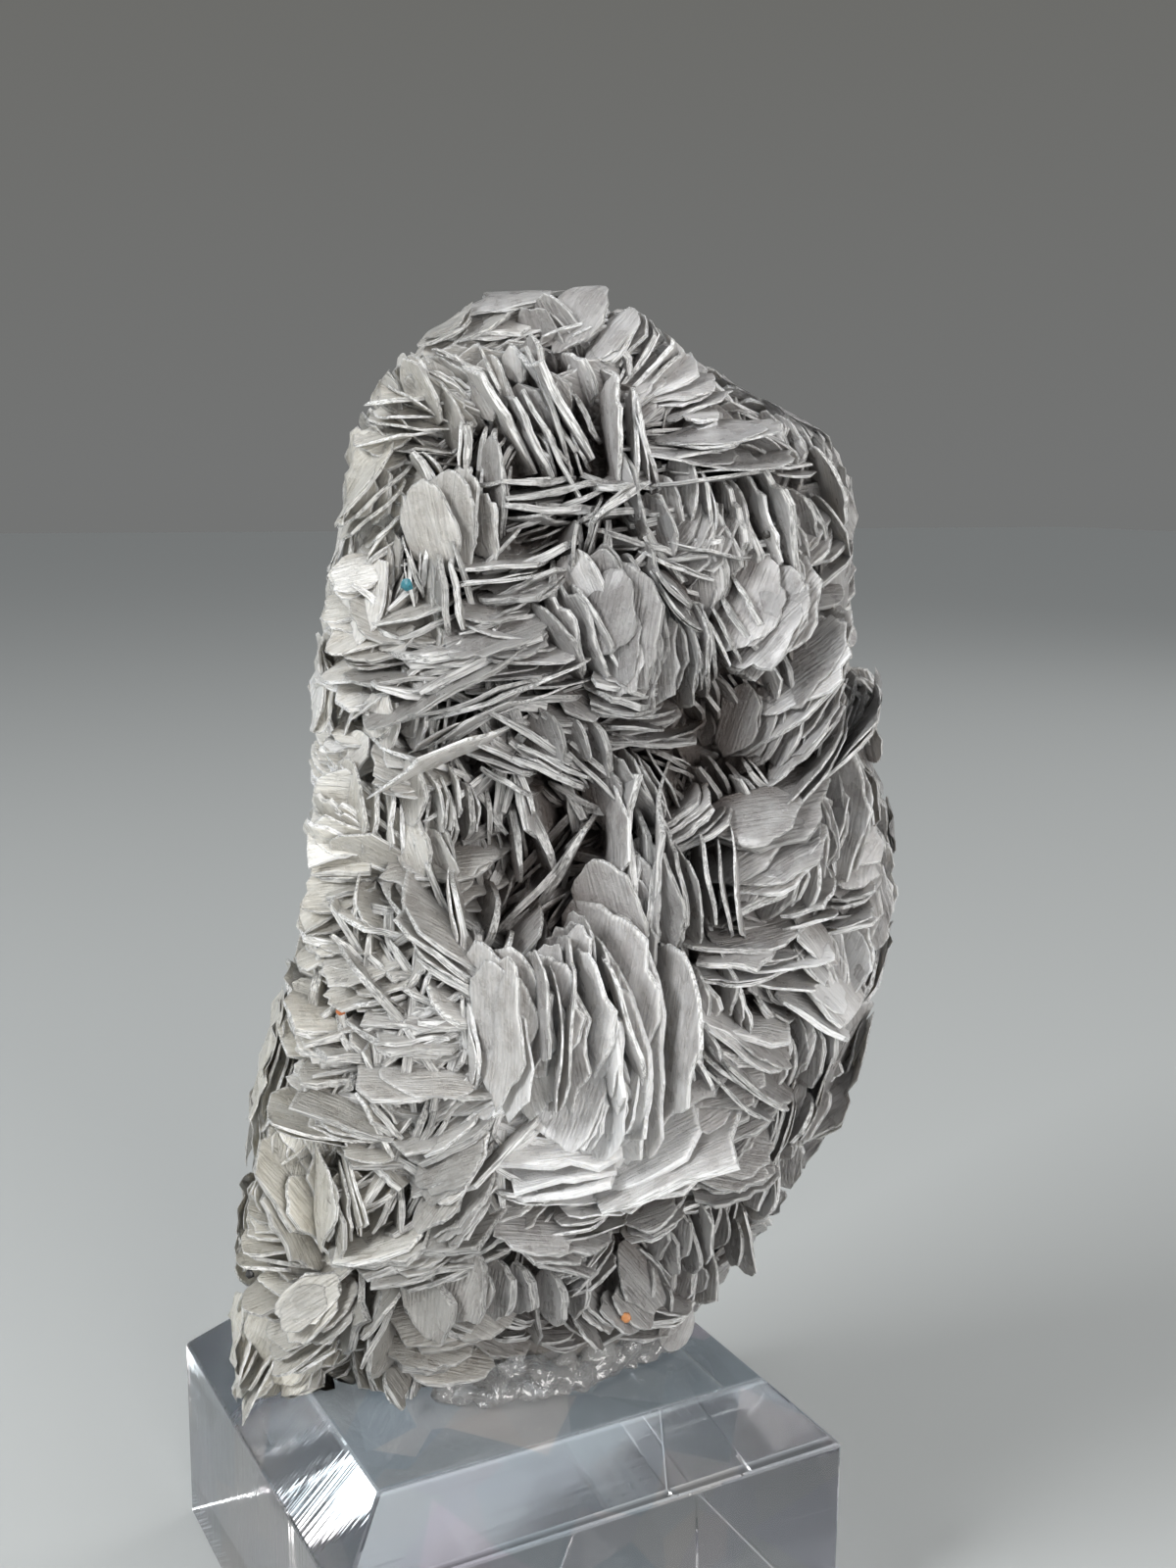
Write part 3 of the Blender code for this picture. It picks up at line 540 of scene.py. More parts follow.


# %% [markdown]
# ## Books of plates
# Plates stand in books, parallel or fanned a little, like pages. A book is set by the middle of
# its rim, the way its edge runs, and the way its plates face. Each plate of it is shifted, turned
# and bent by a small chance of its own. Books differ in colour too: those on the left are
# creamier, and a table of patches paints light and shade on them, paler as painted light where
# the mica is lit and duskier as painted shade in the hollows.

# %% Colour by place, and one plate
# The creamy left is partly the mica's own tone and partly painted light, paler on the left as if
# lit.
CREAM_STARTS, CREAM_WIDTH = 2.0, 24.0  # to the left of this x, over this many millimetres
DRIFT, DRIFT_OFTEN = 0.30, 0.05


def warmth_at(place):
    """0 is silvery and 1 is cream, by place on the cluster and a slow drift. The cream is also
    paler, partly as painted light on the left side.
    """
    left = (CREAM_STARTS - place.x) / CREAM_WIDTH
    return min(max(0.05 + left + DRIFT * noise.noise(place * DRIFT_OFTEN), 0.0), 1.0)


def painted_light_at(place):
    """How much painted light makes the mica paler here, or painted shade darker."""
    return sum(
        paler * math.exp(-((place.x - x) ** 2 + (place.z - z) ** 2) / radius**2)
        for x, z, radius, paler in PAINTED_LIGHT_PATCHES
        if place.y < 0
    )


# Painted light and shade: the proud stack is painted nearly white, the left edge and the crown
# paler, as lit, and the hollows dusky, as shaded
PAINTED_LIGHT_PATCHES = (  # x, height, radius, and how much paler
    (9.5, 56.0, 9.5, 1.35), (27.0, 68.0, 9.0, 0.6), (-14.0, 100.0, 7.0, 0.5),
    (-16.0, 86.0, 8.0, 0.55), (-19.0, 56.0, 6.0, 0.5), (15.0, 115.5, 7.0, 0.45),
    (8.5, 103.0, 7.5, -0.45), (-5.5, 96.5, 5.0, -0.4), (11.0, 90.0, 8.0, -0.45),
    (20.5, 85.0, 6.5, -0.4), (3.5, 78.0, 6.5, -0.35), (15.5, 71.5, 5.0, -0.6),
    (23.0, 56.0, 6.0, -0.8), (-5.5, 54.0, 9.0, -0.35), (2.0, 43.0, 9.0, -0.5),
    (15.0, 42.0, 6.0, -0.6), (-5.5, 35.0, 8.0, -0.6),
)

# The foot's front is undercut where the adhesive shows: no plate there reaches below this
UNDERCUT = ((-7, -3, 3, 16, 20), (0, 27.5, 30.2, 29.8, 25.5))  # x, and the lowest height
UNDERCUT_DEPTH = 1.0
RIPPLE = 0.022  # the height of the small waves in a plate, in half lengths
PLAIN_SHADE, SHADE_SPREAD, PALEST = 0.5, 0.22, 1.5


def add_plate(form, tip, along, out, normal, sizes, bend, chance, offset):
    """One plate: its rim's middle is at the tip, and it runs back from there."""
    half_length, reach, thickness = sizes
    unit = form[0]
    x, y = unit[:, 0], unit[:, 1]
    cup, curl, twist = bend
    ripple = RIPPLE * np.sin(chance.uniform(3, 6) * x + chance.uniform(0, 6))
    rise = (cup * x * x + curl * y * y + twist * x * y + ripple) * half_length
    local = np.stack((x * half_length, y * reach, unit[:, 2] * thickness), axis=1)
    axes = np.array((along, out, normal), dtype=np.float32)
    lifted = local + np.stack((0 * x, 0 * y, rise), axis=1)
    points = (lifted @ axes + np.array(tip - out * reach)).astype(np.float32)
    place = Vector(points.mean(axis=0))
    if place.y < UNDERCUT_DEPTH and points[:, 2].min() < np.interp(place.x, *UNDERCUT):
        return
    # The plate's own tone by chance, plus the painted light and shade of its place.
    shade = chance.gauss(PLAIN_SHADE, SHADE_SPREAD) + painted_light_at(place)
    shade = min(max(shade, 0), PALEST)
    local = (local + (chance.uniform(0, 60), chance.uniform(0, 60), offset)).astype(np.float32)
    piece_for(place).add(points, form, local, shade, warmth_at(place))


# %% One book
EDGE_ON = 26  # a book that opens less than this shows its laminated rims, and is made of blades
STAGGER = 1.05  # how far each plate of an open book steps back behind the next, to the spacing
BLADE_SHARE = 0.62  # a blade's thickness as a share of the spacing
SHEET_SHARE = 0.42  # an open plate's
SMALL_BOOK = 4.2
OPENEST = 0.60  # the sine of the widest that a small book opens to the front
DENSE_BOOK = 3.0  # an open book on the face with plates longer than this has more of them,
MORE_PLATES, CLOSER = 2, 0.8  # closer together
CALM = 0.45  # how far an open book's plates are at odds with each other, to an edge-on one's
LEAN, TILT, YAW = 7, 9, 13  # how far plates stray about rim, depth and face, in degrees
PLATE_SIZES = (0.68, 1.12)  # shares of the book's own size
LOOSE_SIZES = (0.75, 0.97)  # shares of the plate's that a loose sheet lies against
LOOSE_BLADES, LOOSE_PLATES = 0.5, 0.25  # how many plates have such a sheet


def swayed(spread, axis, chance, by=0):
    """A turn about the axis, by so many degrees and a chance of that spread."""
    return Matrix.Rotation(math.radians(by + chance.gauss(0, spread)), 3, axis)


def kept_on_edge(tip, along, normal, half_length):
    """The book's normal, turned back where a small book would lie open like a coin."""
    view = (LAYOUT_EYE - tip).normalized()
    open_by = min(abs(normal.dot(view)), 1.0)
    if tip.y > BACK_STARTS or half_length > SMALL_BOOK or open_by < OPENEST:
        return normal
    angle = math.asin(open_by) - math.asin(OPENEST)
    turns = [Matrix.Rotation(sign * angle, 3, along) @ normal for sign in (1, -1)]
    return min(turns, key=lambda turn: abs(turn.dot(view)))


def add_book(forms, tip, along, normal, half_length, reach, plates, spacing, fan, opened, chance):
    """A book of plates. Edge-on it is made of thick blades at odds with each other, and open of
    thin plates that lie more alike. Now and then a loose thin sheet lies against a plate."""
    side = chance.choice((-1, 1))
    normal = kept_on_edge(tip, along, normal, half_length)
    edge_on = opened < EDGE_ON
    open_share = max(0.0, -normal.y)
    if not edge_on and half_length > DENSE_BOOK and tip.y < BACK_STARTS:
        plates, spacing = plates + MORE_PLATES, spacing * CLOSER
    disorder = 1.0 if edge_on else CALM
    cup, curl = side * chance.uniform(0.0, 0.10), side * chance.uniform(0.0, 0.22)
    for i in range(plates):
        step = i - (plates - 1) / 2
        lean = swayed(LEAN * disorder, along, chance, fan * step)
        tilt = swayed(TILT * disorder, along.cross(normal), chance)
        facing = (tilt @ lean @ normal).normalized()
        run = swayed(YAW, facing, chance) @ along
        run = (run - facing * run.dot(facing)).normalized()
        out = run.cross(facing)
        size = chance.uniform(*PLATE_SIZES)
        shift = run * chance.gauss(0, 0.16) * half_length + out * chance.gauss(-0.04, 0.14) * reach
        back = along.cross(normal) * (STAGGER * open_share * step * spacing)
        place = tip + normal * ((step + chance.uniform(-0.22, 0.22)) * spacing) + shift - back
        share = BLADE_SHARE if edge_on else SHEET_SHARE
        thickness = spacing * share * chance.uniform(0.55, 1.25)
        bend = (cup, curl, chance.uniform(-0.05, 0.05))
        sizes = (half_length * size, reach * size, thickness)
        form = chance.choice(BLADE_FORMS if edge_on else forms)
        add_plate(form, place, run, out, facing, sizes, bend, chance, 0)
        if chance.random() < (LOOSE_BLADES if edge_on else LOOSE_PLATES):
            trim = chance.uniform(*LOOSE_SIZES)
            gap = chance.choice((-1, 1)) * thickness * 0.85
            sizes = (half_length * size * trim, reach * size * trim, thickness * 0.4)
            loose = place + facing * gap + run * chance.gauss(0, 0.08) * half_length
            form = chance.choice(forms)
            add_plate(form, loose, run, out, facing, sizes, bend, chance, gap)

# %% [markdown]
# ## The books that give the face its pattern
# Chance alone gives an even fur of plates, but the real face has streams, fans and one bright
# stack that stands proud. So its larger books are listed group by group: where the rim's
# middle is, how the edge slants, how far the book opens to the front, its size, and how many
# plates it has.

# %% Books listed, in millimetres and degrees
# x, height, angle of the edge from level, how far the book opens to the front from edge-on,
# half length, reach, plates, spacing, fan, forward
FACE_BOOKS = {
    "crown": (
        (-7.5, 117.5, 112, 45, 3.3, 2.4, 3, 0.9, 6, 0),
        (-3.5, 117.5, 145, 40, 4.6, 2.2, 4, 0.8, 5, 0), (2, 118, 105, 50, 2.4, 1.7, 4, 1.4, 8, 0),
        (-8.5, 113, 0, 28, 4.2, 2.2, 3, 1.1, 4, 1), (-9.5, 110.5, 8, 60, 2.6, 1.7, 2, 0.9, 0, 0),
        (-10, 107.5, 80, 50, 2.8, 1.8, 3, 1, 6, 0), (-3.5, 116, 3, 10, 2.2, 1.3, 2, 0.7, 4, -1),
        (-1, 112, 82, 20, 2.9, 1.5, 3, 1, 6, -1), (3.5, 113.5, 122, 18, 6.1, 1.8, 5, 1, 4, 0),
        (0.5, 117, 118, 30, 3.7, 1.7, 2, 0.9, 4, -1),
        (-1.5, 106.5, 96, 55, 4.6, 2.6, 3, 1.1, 6, 2), (-5.5, 108, 123, 18, 4, 1.7, 3, 0.9, 5, 0),
        (-10.5, 104.5, 38, 42, 4.8, 2.2, 4, 1.1, 7, 0),
        (-6.5, 106, 86, 12, 2.6, 1.5, 2, 0.9, 4, 0), (-6, 103, 145, 25, 3.5, 1.7, 2, 0.9, 4, 0),
        (4.5, 107, 2, 14, 4.8, 1.8, 3, 0.9, 5, 0), (1, 103.5, 45, 8, 3.9, 1.5, 1, 0.7, 0, 0),
        (-14, 102.5, 70, 30, 2.6, 1.5, 2, 0.8, 5, 0), (7, 122.2, 130, 52, 3.1, 2.4, 4, 0.9, 6, 0),
        (0.5, 122.2, 12, 35, 5.7, 2.4, 3, 0.8, 4, 0), (-4.5, 120.5, 28, 35, 3.1, 2, 3, 0.9, 6, 0),
        (8, 118, 118, 52, 2.6, 2, 5, 1.6, 8, 0), (6.5, 113.5, 122, 35, 3.1, 1.8, 3, 1.3, 6, -1),
        (12.5, 120.5, 50, 28, 4.6, 2, 4, 1.2, 14, 2),
        (10, 121.8, 100, 32, 2.4, 1.7, 3, 1.1, 12, 0),
        (14.5, 119, 18, 15, 2.8, 1.5, 3, 0.7, 5, -1), (16, 116.5, 18, 34, 3.7, 1.8, 2, 0.9, 5, 0),
    ),
    "upper_right": (
        (18.5, 113.5, 0, 20, 1.7, 1.1, 3, 0.7, 4, 0), (23, 116.5, 158, 40, 3.9, 2.4, 3, 1, 6, 0),
        (27.5, 113.5, 115, 42, 3.3, 2, 4, 0.9, 8, 0), (24.5, 112.5, 150, 52, 2.9, 2, 2, 0.8, 5, 0),
        (18, 110.5, 5, 30, 6.4, 2.4, 3, 0.8, 4, 3), (26.5, 110, -3, 15, 2.2, 1.3, 2, 0.6, 4, 0),
        (12, 112.5, 96, 28, 5, 1.8, 2, 0.9, 4, 2), (17, 112, 3, 16, 4.8, 1.8, 3, 0.8, 5, 0),
        (18, 106.5, 100, 45, 3.5, 2.2, 2, 1.1, 5, 1), (11.5, 107, 6, 14, 4, 1.8, 3, 1, 5, 1),
        (14.5, 105, 3, 18, 4.6, 1.8, 2, 1, 4, 0), (23, 103.5, 108, 38, 5.7, 2.6, 4, 1.4, 7, 1),
        (29.5, 106, 115, 46, 3.7, 2.6, 4, 1.1, 7, 0), (32, 106, 92, 58, 3.9, 2.4, 1, 0.7, 0, -3),
        (25, 104, 4, 16, 2.6, 1.5, 3, 0.9, 5, 0), (19.5, 104, 50, 50, 3.5, 2.2, 2, 1.1, 5, 1),
        (16.5, 101.5, -4, 16, 4.8, 1.8, 3, 0.8, 5, 0),
        (12.5, 100.5, 103, 48, 3.3, 2.4, 3, 1.2, 7, 1), (8, 103.5, 88, 10, 2.8, 1.5, 2, 0.9, 4, 0),
        (30, 102.5, 35, 50, 3.1, 2, 2, 1, 5, 0), (26, 100.5, 95, 55, 2.8, 2.2, 3, 1.3, 6, 0),
    ),
    "left_shelves": (
        (-13, 97.5, 8, 58, 3.5, 2.4, 3, 0.8, 5, 1), (-7, 100, 100, 15, 2.4, 1.3, 4, 0.6, 10, 0),
        (-4, 98.5, 104, 14, 4, 1.7, 2, 0.8, 4, 2), (0.5, 99.5, 22, 16, 5, 1.8, 3, 0.8, 5, 1),
        (0.5, 97.5, 15, 12, 4.4, 1.8, 5, 0.6, 5, 0), (-7, 96, 14, 22, 3.9, 1.8, 2, 0.9, 4, 1),
        (-11, 92.5, 5, 45, 4.6, 2.4, 3, 1, 5, 1), (-9, 93.5, 40, 60, 2.2, 1.7, 1, 0.7, 0, 1),
        (-2.5, 94, 25, 20, 8.1, 2.6, 2, 1, 4, 2), (1.5, 94, -8, 36, 4.4, 2, 2, 0.9, 5, 1),
        (-7.5, 91, 8, 16, 6.2, 2.2, 3, 0.7, 4, 2), (1.5, 91, 8, 32, 5, 2.6, 5, 0.7, 6, 2),
        (7.5, 95, 115, 28, 5, 2.2, 2, 1, 4, 2), (-2.5, 86, 25, 28, 8.4, 3.1, 3, 1.1, 5, 3),
        (-7.5, 87, 80, 42, 3.3, 2, 4, 1, 7, 1), (-10.5, 86.5, 118, 22, 3.5, 1.7, 1, 0.8, 0, 1),
        (-14, 88.5, 70, 45, 3.1, 1.8, 2, 1, 8, 0), (-14, 84.5, 10, 40, 2.8, 1.7, 2, 0.9, 6, 0),
        (-14.5, 82, -5, 30, 2.4, 1.5, 2, 0.9, 4, 0), (6, 87.5, -20, 30, 2.9, 1.7, 3, 0.8, 6, 0),
        (0, 82.5, -22, 16, 3.9, 1.8, 3, 0.9, 5, 1), (4, 83, -25, 14, 5, 1.8, 3, 0.9, 5, 1),
        (-8.5, 81.5, -5, 50, 4, 2, 1, 0.8, 0, 2), (-9.5, 77.5, 90, 30, 4.2, 1.8, 4, 1.1, 7, 1),
        (-2.5, 77, 100, 45, 4, 2.4, 4, 1.6, 7, 1), (1.5, 76.5, 105, 40, 4.2, 2, 3, 1.3, 6, 0),
        (-5.5, 80, 95, 35, 3.1, 1.7, 2, 1.1, 5, 2), (-13, 77, 138, 32, 4.8, 2.2, 3, 1.2, 7, 1),
        (-14.5, 78, 15, 45, 2.9, 2, 2, 1, 5, 0),
    ),
    "middle_fans": (
        (13.5, 95, 88, 62, 5.3, 3.1, 3, 0.7, 5, 2), (17, 94, 95, 50, 5.1, 2.9, 4, 0.9, 6, 1),
        (15.5, 98.5, -40, 14, 3.5, 1.5, 2, 0.8, 4, 2), (19, 94.5, 122, 32, 3.1, 1.7, 2, 0.9, 4, 0),
        (21.5, 95.5, 118, 28, 4.2, 1.8, 3, 1.6, 7, 1), (27, 95.5, 58, 58, 6.1, 3.9, 2, 0.8, 4, 3),
        (30.5, 96.5, 8, 30, 2.4, 1.8, 3, 1.1, 8, 0), (31, 93.5, -15, 40, 2.4, 1.8, 2, 1, 5, 0),
        (21, 88, 92, 45, 2.8, 1.8, 3, 1.4, 7, -3), (24, 89, 96, 40, 3.1, 1.8, 3, 1.2, 7, -2),
        (26, 91.5, 102, 35, 2.8, 1.7, 2, 0.9, 4, 0), (28, 89.5, 60, 52, 3.1, 2.2, 2, 0.9, 5, 0),
        (28, 85.5, 78, 50, 4, 2.8, 5, 0.9, 7, 2), (31, 86, 52, 32, 7.7, 3.1, 6, 0.9, 6, 4),
        (35.5, 86, 78, 60, 2.8, 2.2, 1, 0.7, 0, 0), (34.5, 81, 104, 55, 3.5, 2.6, 2, 1.1, 5, 0),
        (14, 81, 116, 42, 5.3, 2.8, 3, 0.9, 6, 1), (13.5, 85.5, -8, 20, 4.2, 1.8, 2, 0.9, 4, -1),
        (11, 90, -18, 12, 3.3, 1.5, 2, 0.8, 4, 1), (12, 88, -10, 35, 4, 1.8, 3, 1, 6, 0),
        (8.5, 85.5, 100, 50, 2.9, 2, 3, 1.4, 7, 1), (8.5, 81.5, -45, 10, 5, 1.7, 3, 0.8, 5, 1),
        (22, 84, -27, 12, 3.5, 1.3, 1, 0.7, 0, -3), (21.5, 80.5, 120, 42, 3.5, 2.2, 4, 1.4, 8, 0),
        (24, 78.5, 115, 16, 3.3, 1.5, 2, 0.9, 4, 1),
        (20.5, 77.5, 130, 50, 2.9, 2.2, 2, 0.9, 5, -1), (17, 77, 33, 16, 4.2, 1.8, 4, 0.7, 5, 1),
        (22.5, 77, 38, 14, 2.4, 1.3, 1, 0.7, 0, 0), (25.5, 80, 80, 45, 2, 1.7, 3, 0.9, 10, 0),
    ),
    "hollow_blades": (
        (12.5, 74, 90, 9, 7.7, 2.8, 3, 0.9, 4, 4), (6, 70, 48, 13, 8.6, 2.6, 4, 1, 4, 0),
        (5, 73, 58, 13, 7.9, 2.4, 3, 1, 4, -1), (3, 63.5, 55, 18, 3.7, 1.8, 2, 0.9, 4, 1),
        (-2.5, 79.5, 100, 25, 2.8, 1.5, 2, 1.1, 5, -3),
        (8.5, 76.5, 60, 15, 3.1, 1.5, 2, 0.9, 5, -6), (5, 78.5, 10, 25, 3.7, 1.7, 2, 1.1, 5, -6),
        (2, 74.5, 95, 25, 3.1, 1.7, 2, 1.1, 5, -6), (19, 70.5, 101, 38, 5.5, 3.3, 6, 1.1, 8, 3),
        (15, 70.5, 96, 12, 5.1, 2.4, 3, 0.9, 5, 1),
    ),
    "right_discs": (
        (26, 73.5, 30, 40, 5.7, 2.9, 4, 1, 6, 3), (27.5, 71, 76, 50, 3.5, 2.6, 3, 1.2, 6, 1),
        (33, 76, 86, 58, 6.1, 3.9, 2, 0.9, 5, 1), (36.5, 72, 88, 60, 5.1, 3.9, 2, 0.8, 4, -1),
        (29.5, 68.5, 28, 14, 2.9, 1.5, 2, 0.8, 4, 1), (33.5, 67.5, 14, 12, 2.6, 1.5, 1, 0.8, 0, 0),
        (22.5, 64.5, -4, 16, 4.8, 2, 2, 0.9, 4, 1), (26, 62.5, 0, 28, 5.3, 2.2, 3, 0.9, 5, 1),
        (29.5, 64.5, -45, 35, 2.8, 1.7, 2, 0.9, 4, 1),
        (20.5, 60.5, 100, 46, 3.5, 2.2, 4, 1.1, 7, 0), (34, 62, 82, 60, 5, 3.5, 3, 0.9, 5, 0),
        (30.5, 58, -46, 16, 4.4, 1.8, 2, 0.8, 4, 2), (24.5, 55.5, -22, 20, 5, 2, 3, 0.9, 5, 1),
        (23, 52.5, -36, 26, 5.9, 2.2, 3, 1, 5, 2), (30, 54.5, 88, 52, 3.9, 2.9, 3, 1.1, 6, 0),
        (32.5, 54, 86, 50, 2.8, 2, 2, 0.8, 4, 0), (18.5, 53.5, 114, 32, 3.5, 1.8, 2, 0.9, 4, 1),
        (31, 48.5, 60, 55, 4.4, 3.5, 3, 1, 6, 0), (28, 47, 72, 55, 3.7, 2.8, 3, 1.2, 7, 0),
        (20, 56.5, 110, 40, 2.8, 1.8, 2, 1.1, 5, 0),
    ),
    "bright_stack": (
        (16, 55.5, 96, 52, 11.7, 6.1, 3, 1, 4, 4), (14, 62.5, 100, 55, 5.5, 3.7, 2, 0.9, 4, 2),
        (8, 56, 98, 48, 7.3, 3.7, 6, 1.1, 6, 6), (8.5, 63.5, 98, 50, 3.1, 2, 3, 1, 6, 5),
        (5.5, 55.5, 88, 48, 7.5, 2.9, 3, 0.9, 5, 8), (12.5, 47.5, 80, 50, 4.6, 3.1, 3, 1, 6, 4),
    ),
    "criss_cross": (
        (-5, 70.5, 10, 50, 6.2, 3.1, 2, 0.9, 4, 0), (-14, 71, 2, 22, 3.5, 2.2, 6, 0.8, 6, 0),
        (-14.5, 66.5, 8, 45, 3.9, 2.4, 3, 1.1, 5, 0), (-15.5, 64, 20, 36, 4.2, 2, 2, 0.9, 4, 1),
        (-10.5, 63, 132, 14, 3.9, 1.7, 2, 0.8, 4, 1), (-13.5, 61.5, 10, 40, 4.2, 2, 3, 1, 5, 0),
        (-4, 67, 94, 8, 5.1, 1.7, 1, 0.8, 0, 4), (-6.5, 67.5, -50, 14, 3.5, 1.5, 2, 0.8, 4, 2),
        (-7.5, 66, -48, 14, 4, 1.7, 2, 0.8, 4, 1), (-11, 66.5, -40, 16, 3.3, 1.5, 2, 0.8, 4, 0),
        (-4, 61.5, -40, 14, 6.8, 2.2, 3, 0.9, 5, 4), (-7, 61.5, 60, 18, 2.4, 1.3, 3, 0.8, 8, 1),
        (-11, 59, 18, 32, 4.8, 2, 4, 1, 5, 1), (-7.5, 56.5, 8, 18, 5.5, 2.2, 3, 0.9, 5, 2),
        (-2.5, 57, 91, 14, 3.9, 1.8, 2, 0.8, 4, 3), (-17.5, 59, -10, 40, 2.8, 1.8, 2, 1, 5, 0),
        (-15.5, 53, 3, 24, 4.6, 2.2, 3, 1, 4, 2), (-16.5, 55, 10, 50, 2.8, 1.7, 1, 0.8, 0, 1),
        (-6.5, 54.5, 50, 10, 3.1, 1.3, 3, 0.6, 5, 0), (1, 54.5, -42, 14, 3.3, 1.5, 3, 0.8, 5, 1),
        (-6.5, 51.5, 18, 14, 6.1, 2, 3, 0.8, 5, 2), (-15, 50.5, 38, 14, 4, 1.8, 3, 0.9, 5, 1),
        (-18, 50.5, -12, 30, 2.9, 1.7, 3, 1, 5, 0), (-21, 51.5, 70, 38, 6.2, 2.8, 4, 1.2, 6, 0),
        (-16, 46, -12, 18, 6.1, 2.2, 3, 0.9, 4, 3), (-14, 48.5, -25, 16, 4.8, 1.8, 3, 0.9, 5, 1),
        (-10.5, 48.5, 125, 12, 3.1, 1.5, 3, 0.8, 6, 1),
        (-6.5, 47.5, 62, 14, 3.5, 1.7, 3, 0.9, 10, 1), (-1.5, 48, 48, 24, 7.3, 2.9, 5, 1.1, 5, 2),
        (-3.5, 43.5, 38, 22, 4.8, 2.2, 3, 1, 5, 2), (-3.5, 39.5, 50, 32, 4.4, 2.4, 3, 1, 5, 4),
        (1, 49.5, 45, 14, 4.6, 2, 2, 0.9, 4, 1), (-12, 43.5, -20, 20, 3.7, 1.7, 2, 0.9, 5, 0),
        (0, 58.5, -38, 20, 4, 1.8, 3, 1, 5, 1),
    ),
    "lower_left": (
        (-19.5, 38, -55, 50, 5.7, 3.5, 3, 1.4, 6, 0), (-22, 40.5, -75, 45, 3.7, 2.2, 2, 1.1, 5, 0),
        (-15.5, 38.5, 92, 28, 5.3, 2.2, 2, 0.9, 4, 2), (-12.5, 40, 50, 14, 3.5, 1.7, 3, 1, 6, 1),
        (-21.5, 34, -10, 42, 4.2, 2.4, 4, 1.2, 6, 0),
        (-17.5, 25.5, 35, 55, 3.5, 2.8, 2, 0.8, 4, 3), (-12, 33.5, 22, 18, 5.7, 2.2, 3, 0.9, 5, 3),
        (-5.5, 33, 22, 18, 6.8, 2.4, 4, 0.9, 5, 3), (1, 35.5, 30, 36, 5.5, 2.4, 2, 0.9, 4, 2),
        (-9.5, 39, 75, 12, 3.5, 1.5, 3, 0.8, 8, 0), (-10.5, 42.5, -25, 20, 3.3, 1.7, 2, 0.9, 5, 1),
        (-5, 27.5, -30, 22, 4.4, 2, 4, 1.1, 6, 2), (-14, 25.5, 72, 14, 4.2, 1.8, 2, 1, 4, 3),
        (-11, 25.5, 65, 14, 4.2, 1.8, 2, 0.8, 4, 3), (-6.5, 22.5, -12, 52, 5, 2.6, 4, 1.2, 6, 1),
        (-11, 19, -68, 20, 2.6, 1.5, 1, 0.8, 0, 1), (-24, 21.5, 62, 38, 5, 2.2, 3, 1, 6, 1),
        (-19.5, 22.5, 32, 30, 4, 2, 2, 0.9, 4, 2), (3, 29, 88, 58, 3.5, 2.8, 4, 2.4, 6, 3),
        (-21, 28.5, 5, 45, 3.1, 2, 2, 1.1, 6, 0),
    ),
    "lower_right": (
        (6.5, 42, -3, 22, 5.7, 2.4, 3, 0.9, 5, 3), (2, 40, -25, 16, 3.7, 1.7, 2, 0.8, 4, 2),
        (15, 41.5, 25, 18, 8.8, 2.8, 3, 1, 5, 3), (22, 47.5, 30, 46, 4.4, 2.6, 4, 1.1, 6, 1),
        (22, 41.5, 10, 50, 4.6, 2.4, 3, 1.1, 5, 1), (26, 42, 74, 54, 3.3, 2.6, 2, 1.1, 6, 0),
        (22.5, 36.5, 78, 52, 3.1, 2.4, 2, 1.1, 6, 0), (15, 36.5, 20, 58, 3.1, 2.4, 1, 0.8, 0, 1),
        (19, 35, 96, 45, 3.5, 2.2, 3, 1, 6, 1), (20, 30.5, 85, 52, 2.6, 2, 2, 1, 5, 0),
        (9, 37, 5, 30, 3.9, 2, 3, 0.9, 5, 2), (5.5, 34, -15, 45, 4.2, 2.2, 2, 0.9, 4, 3),
        (9, 31.5, 38, 36, 3.7, 1.8, 2, 0.9, 4, 2), (14.5, 30, 90, 42, 2.6, 1.8, 3, 0.9, 6, 1),
        (17.5, 29, 80, 54, 2.4, 2, 1, 0.8, 0, 0), (11, 27, -50, 30, 3.3, 1.8, 4, 1.2, 7, 3),
        (17, 27.5, -5, 16, 2.6, 1.5, 2, 0.7, 4, 1),
    ),
}

SEED = 23
chance = random.Random(SEED)
leaders = []  # tip, along and normal of every book that leads its neighbours


def book_axes(edge, opened):
    """The way a book's edge runs and the way its plates face."""
    edge, opened = math.radians(edge), math.radians(opened)
    along = Vector((math.cos(edge), 0, math.sin(edge)))
    across = Vector((-math.sin(edge), 0, math.cos(edge)))
    return along, across * math.cos(opened) + Vector((0, -1, 0)) * math.sin(opened)


def deepened(half_length, reach, opened):
    """A plate seen edge-on hides most of its depth: a deeper reach, and the opening that keeps
    as much of the face in sight."""
    hidden = math.cos(math.radians(opened)) ** 2
    deep = max(reach, reach + (0.85 * half_length - reach) * hidden)
    return deep, math.degrees(math.asin(reach / deep * math.sin(math.radians(opened))))


LARGE_BOOK = 4.2
OPENING = 0.9  # books stand this share as open as the table says

for group in FACE_BOOKS.values():
    for x, height, edge, opened, half_length, reach, plates, spacing, fan, forward in group:
        deep, opening = deepened(half_length, reach, OPENING * opened)
        along, normal = book_axes(edge, opening)
        tip = place_on_face(x, height, forward)
        leaders.append((tip, along, normal))
        forms = LARGE_FORMS if half_length > LARGE_BOOK else MIDDLE_FORMS
        add_book(
            forms, tip, along, normal, half_length, deep, plates, spacing, fan, opened, chance
        )
print("books set by hand:", len(leaders))

# %% [markdown]
# ## Books round the sides, the back and the crown
# The rest of the cluster is grown by rule. Larger books are spread over the outline at a steady
# pitch, each turned its own way about the surface, and they lead: every smaller book between
# them takes the direction of the nearest leader with a small turn of its own. That gives the
# drifts and sudden changes of direction that real mica has, where pure chance would look like fur.

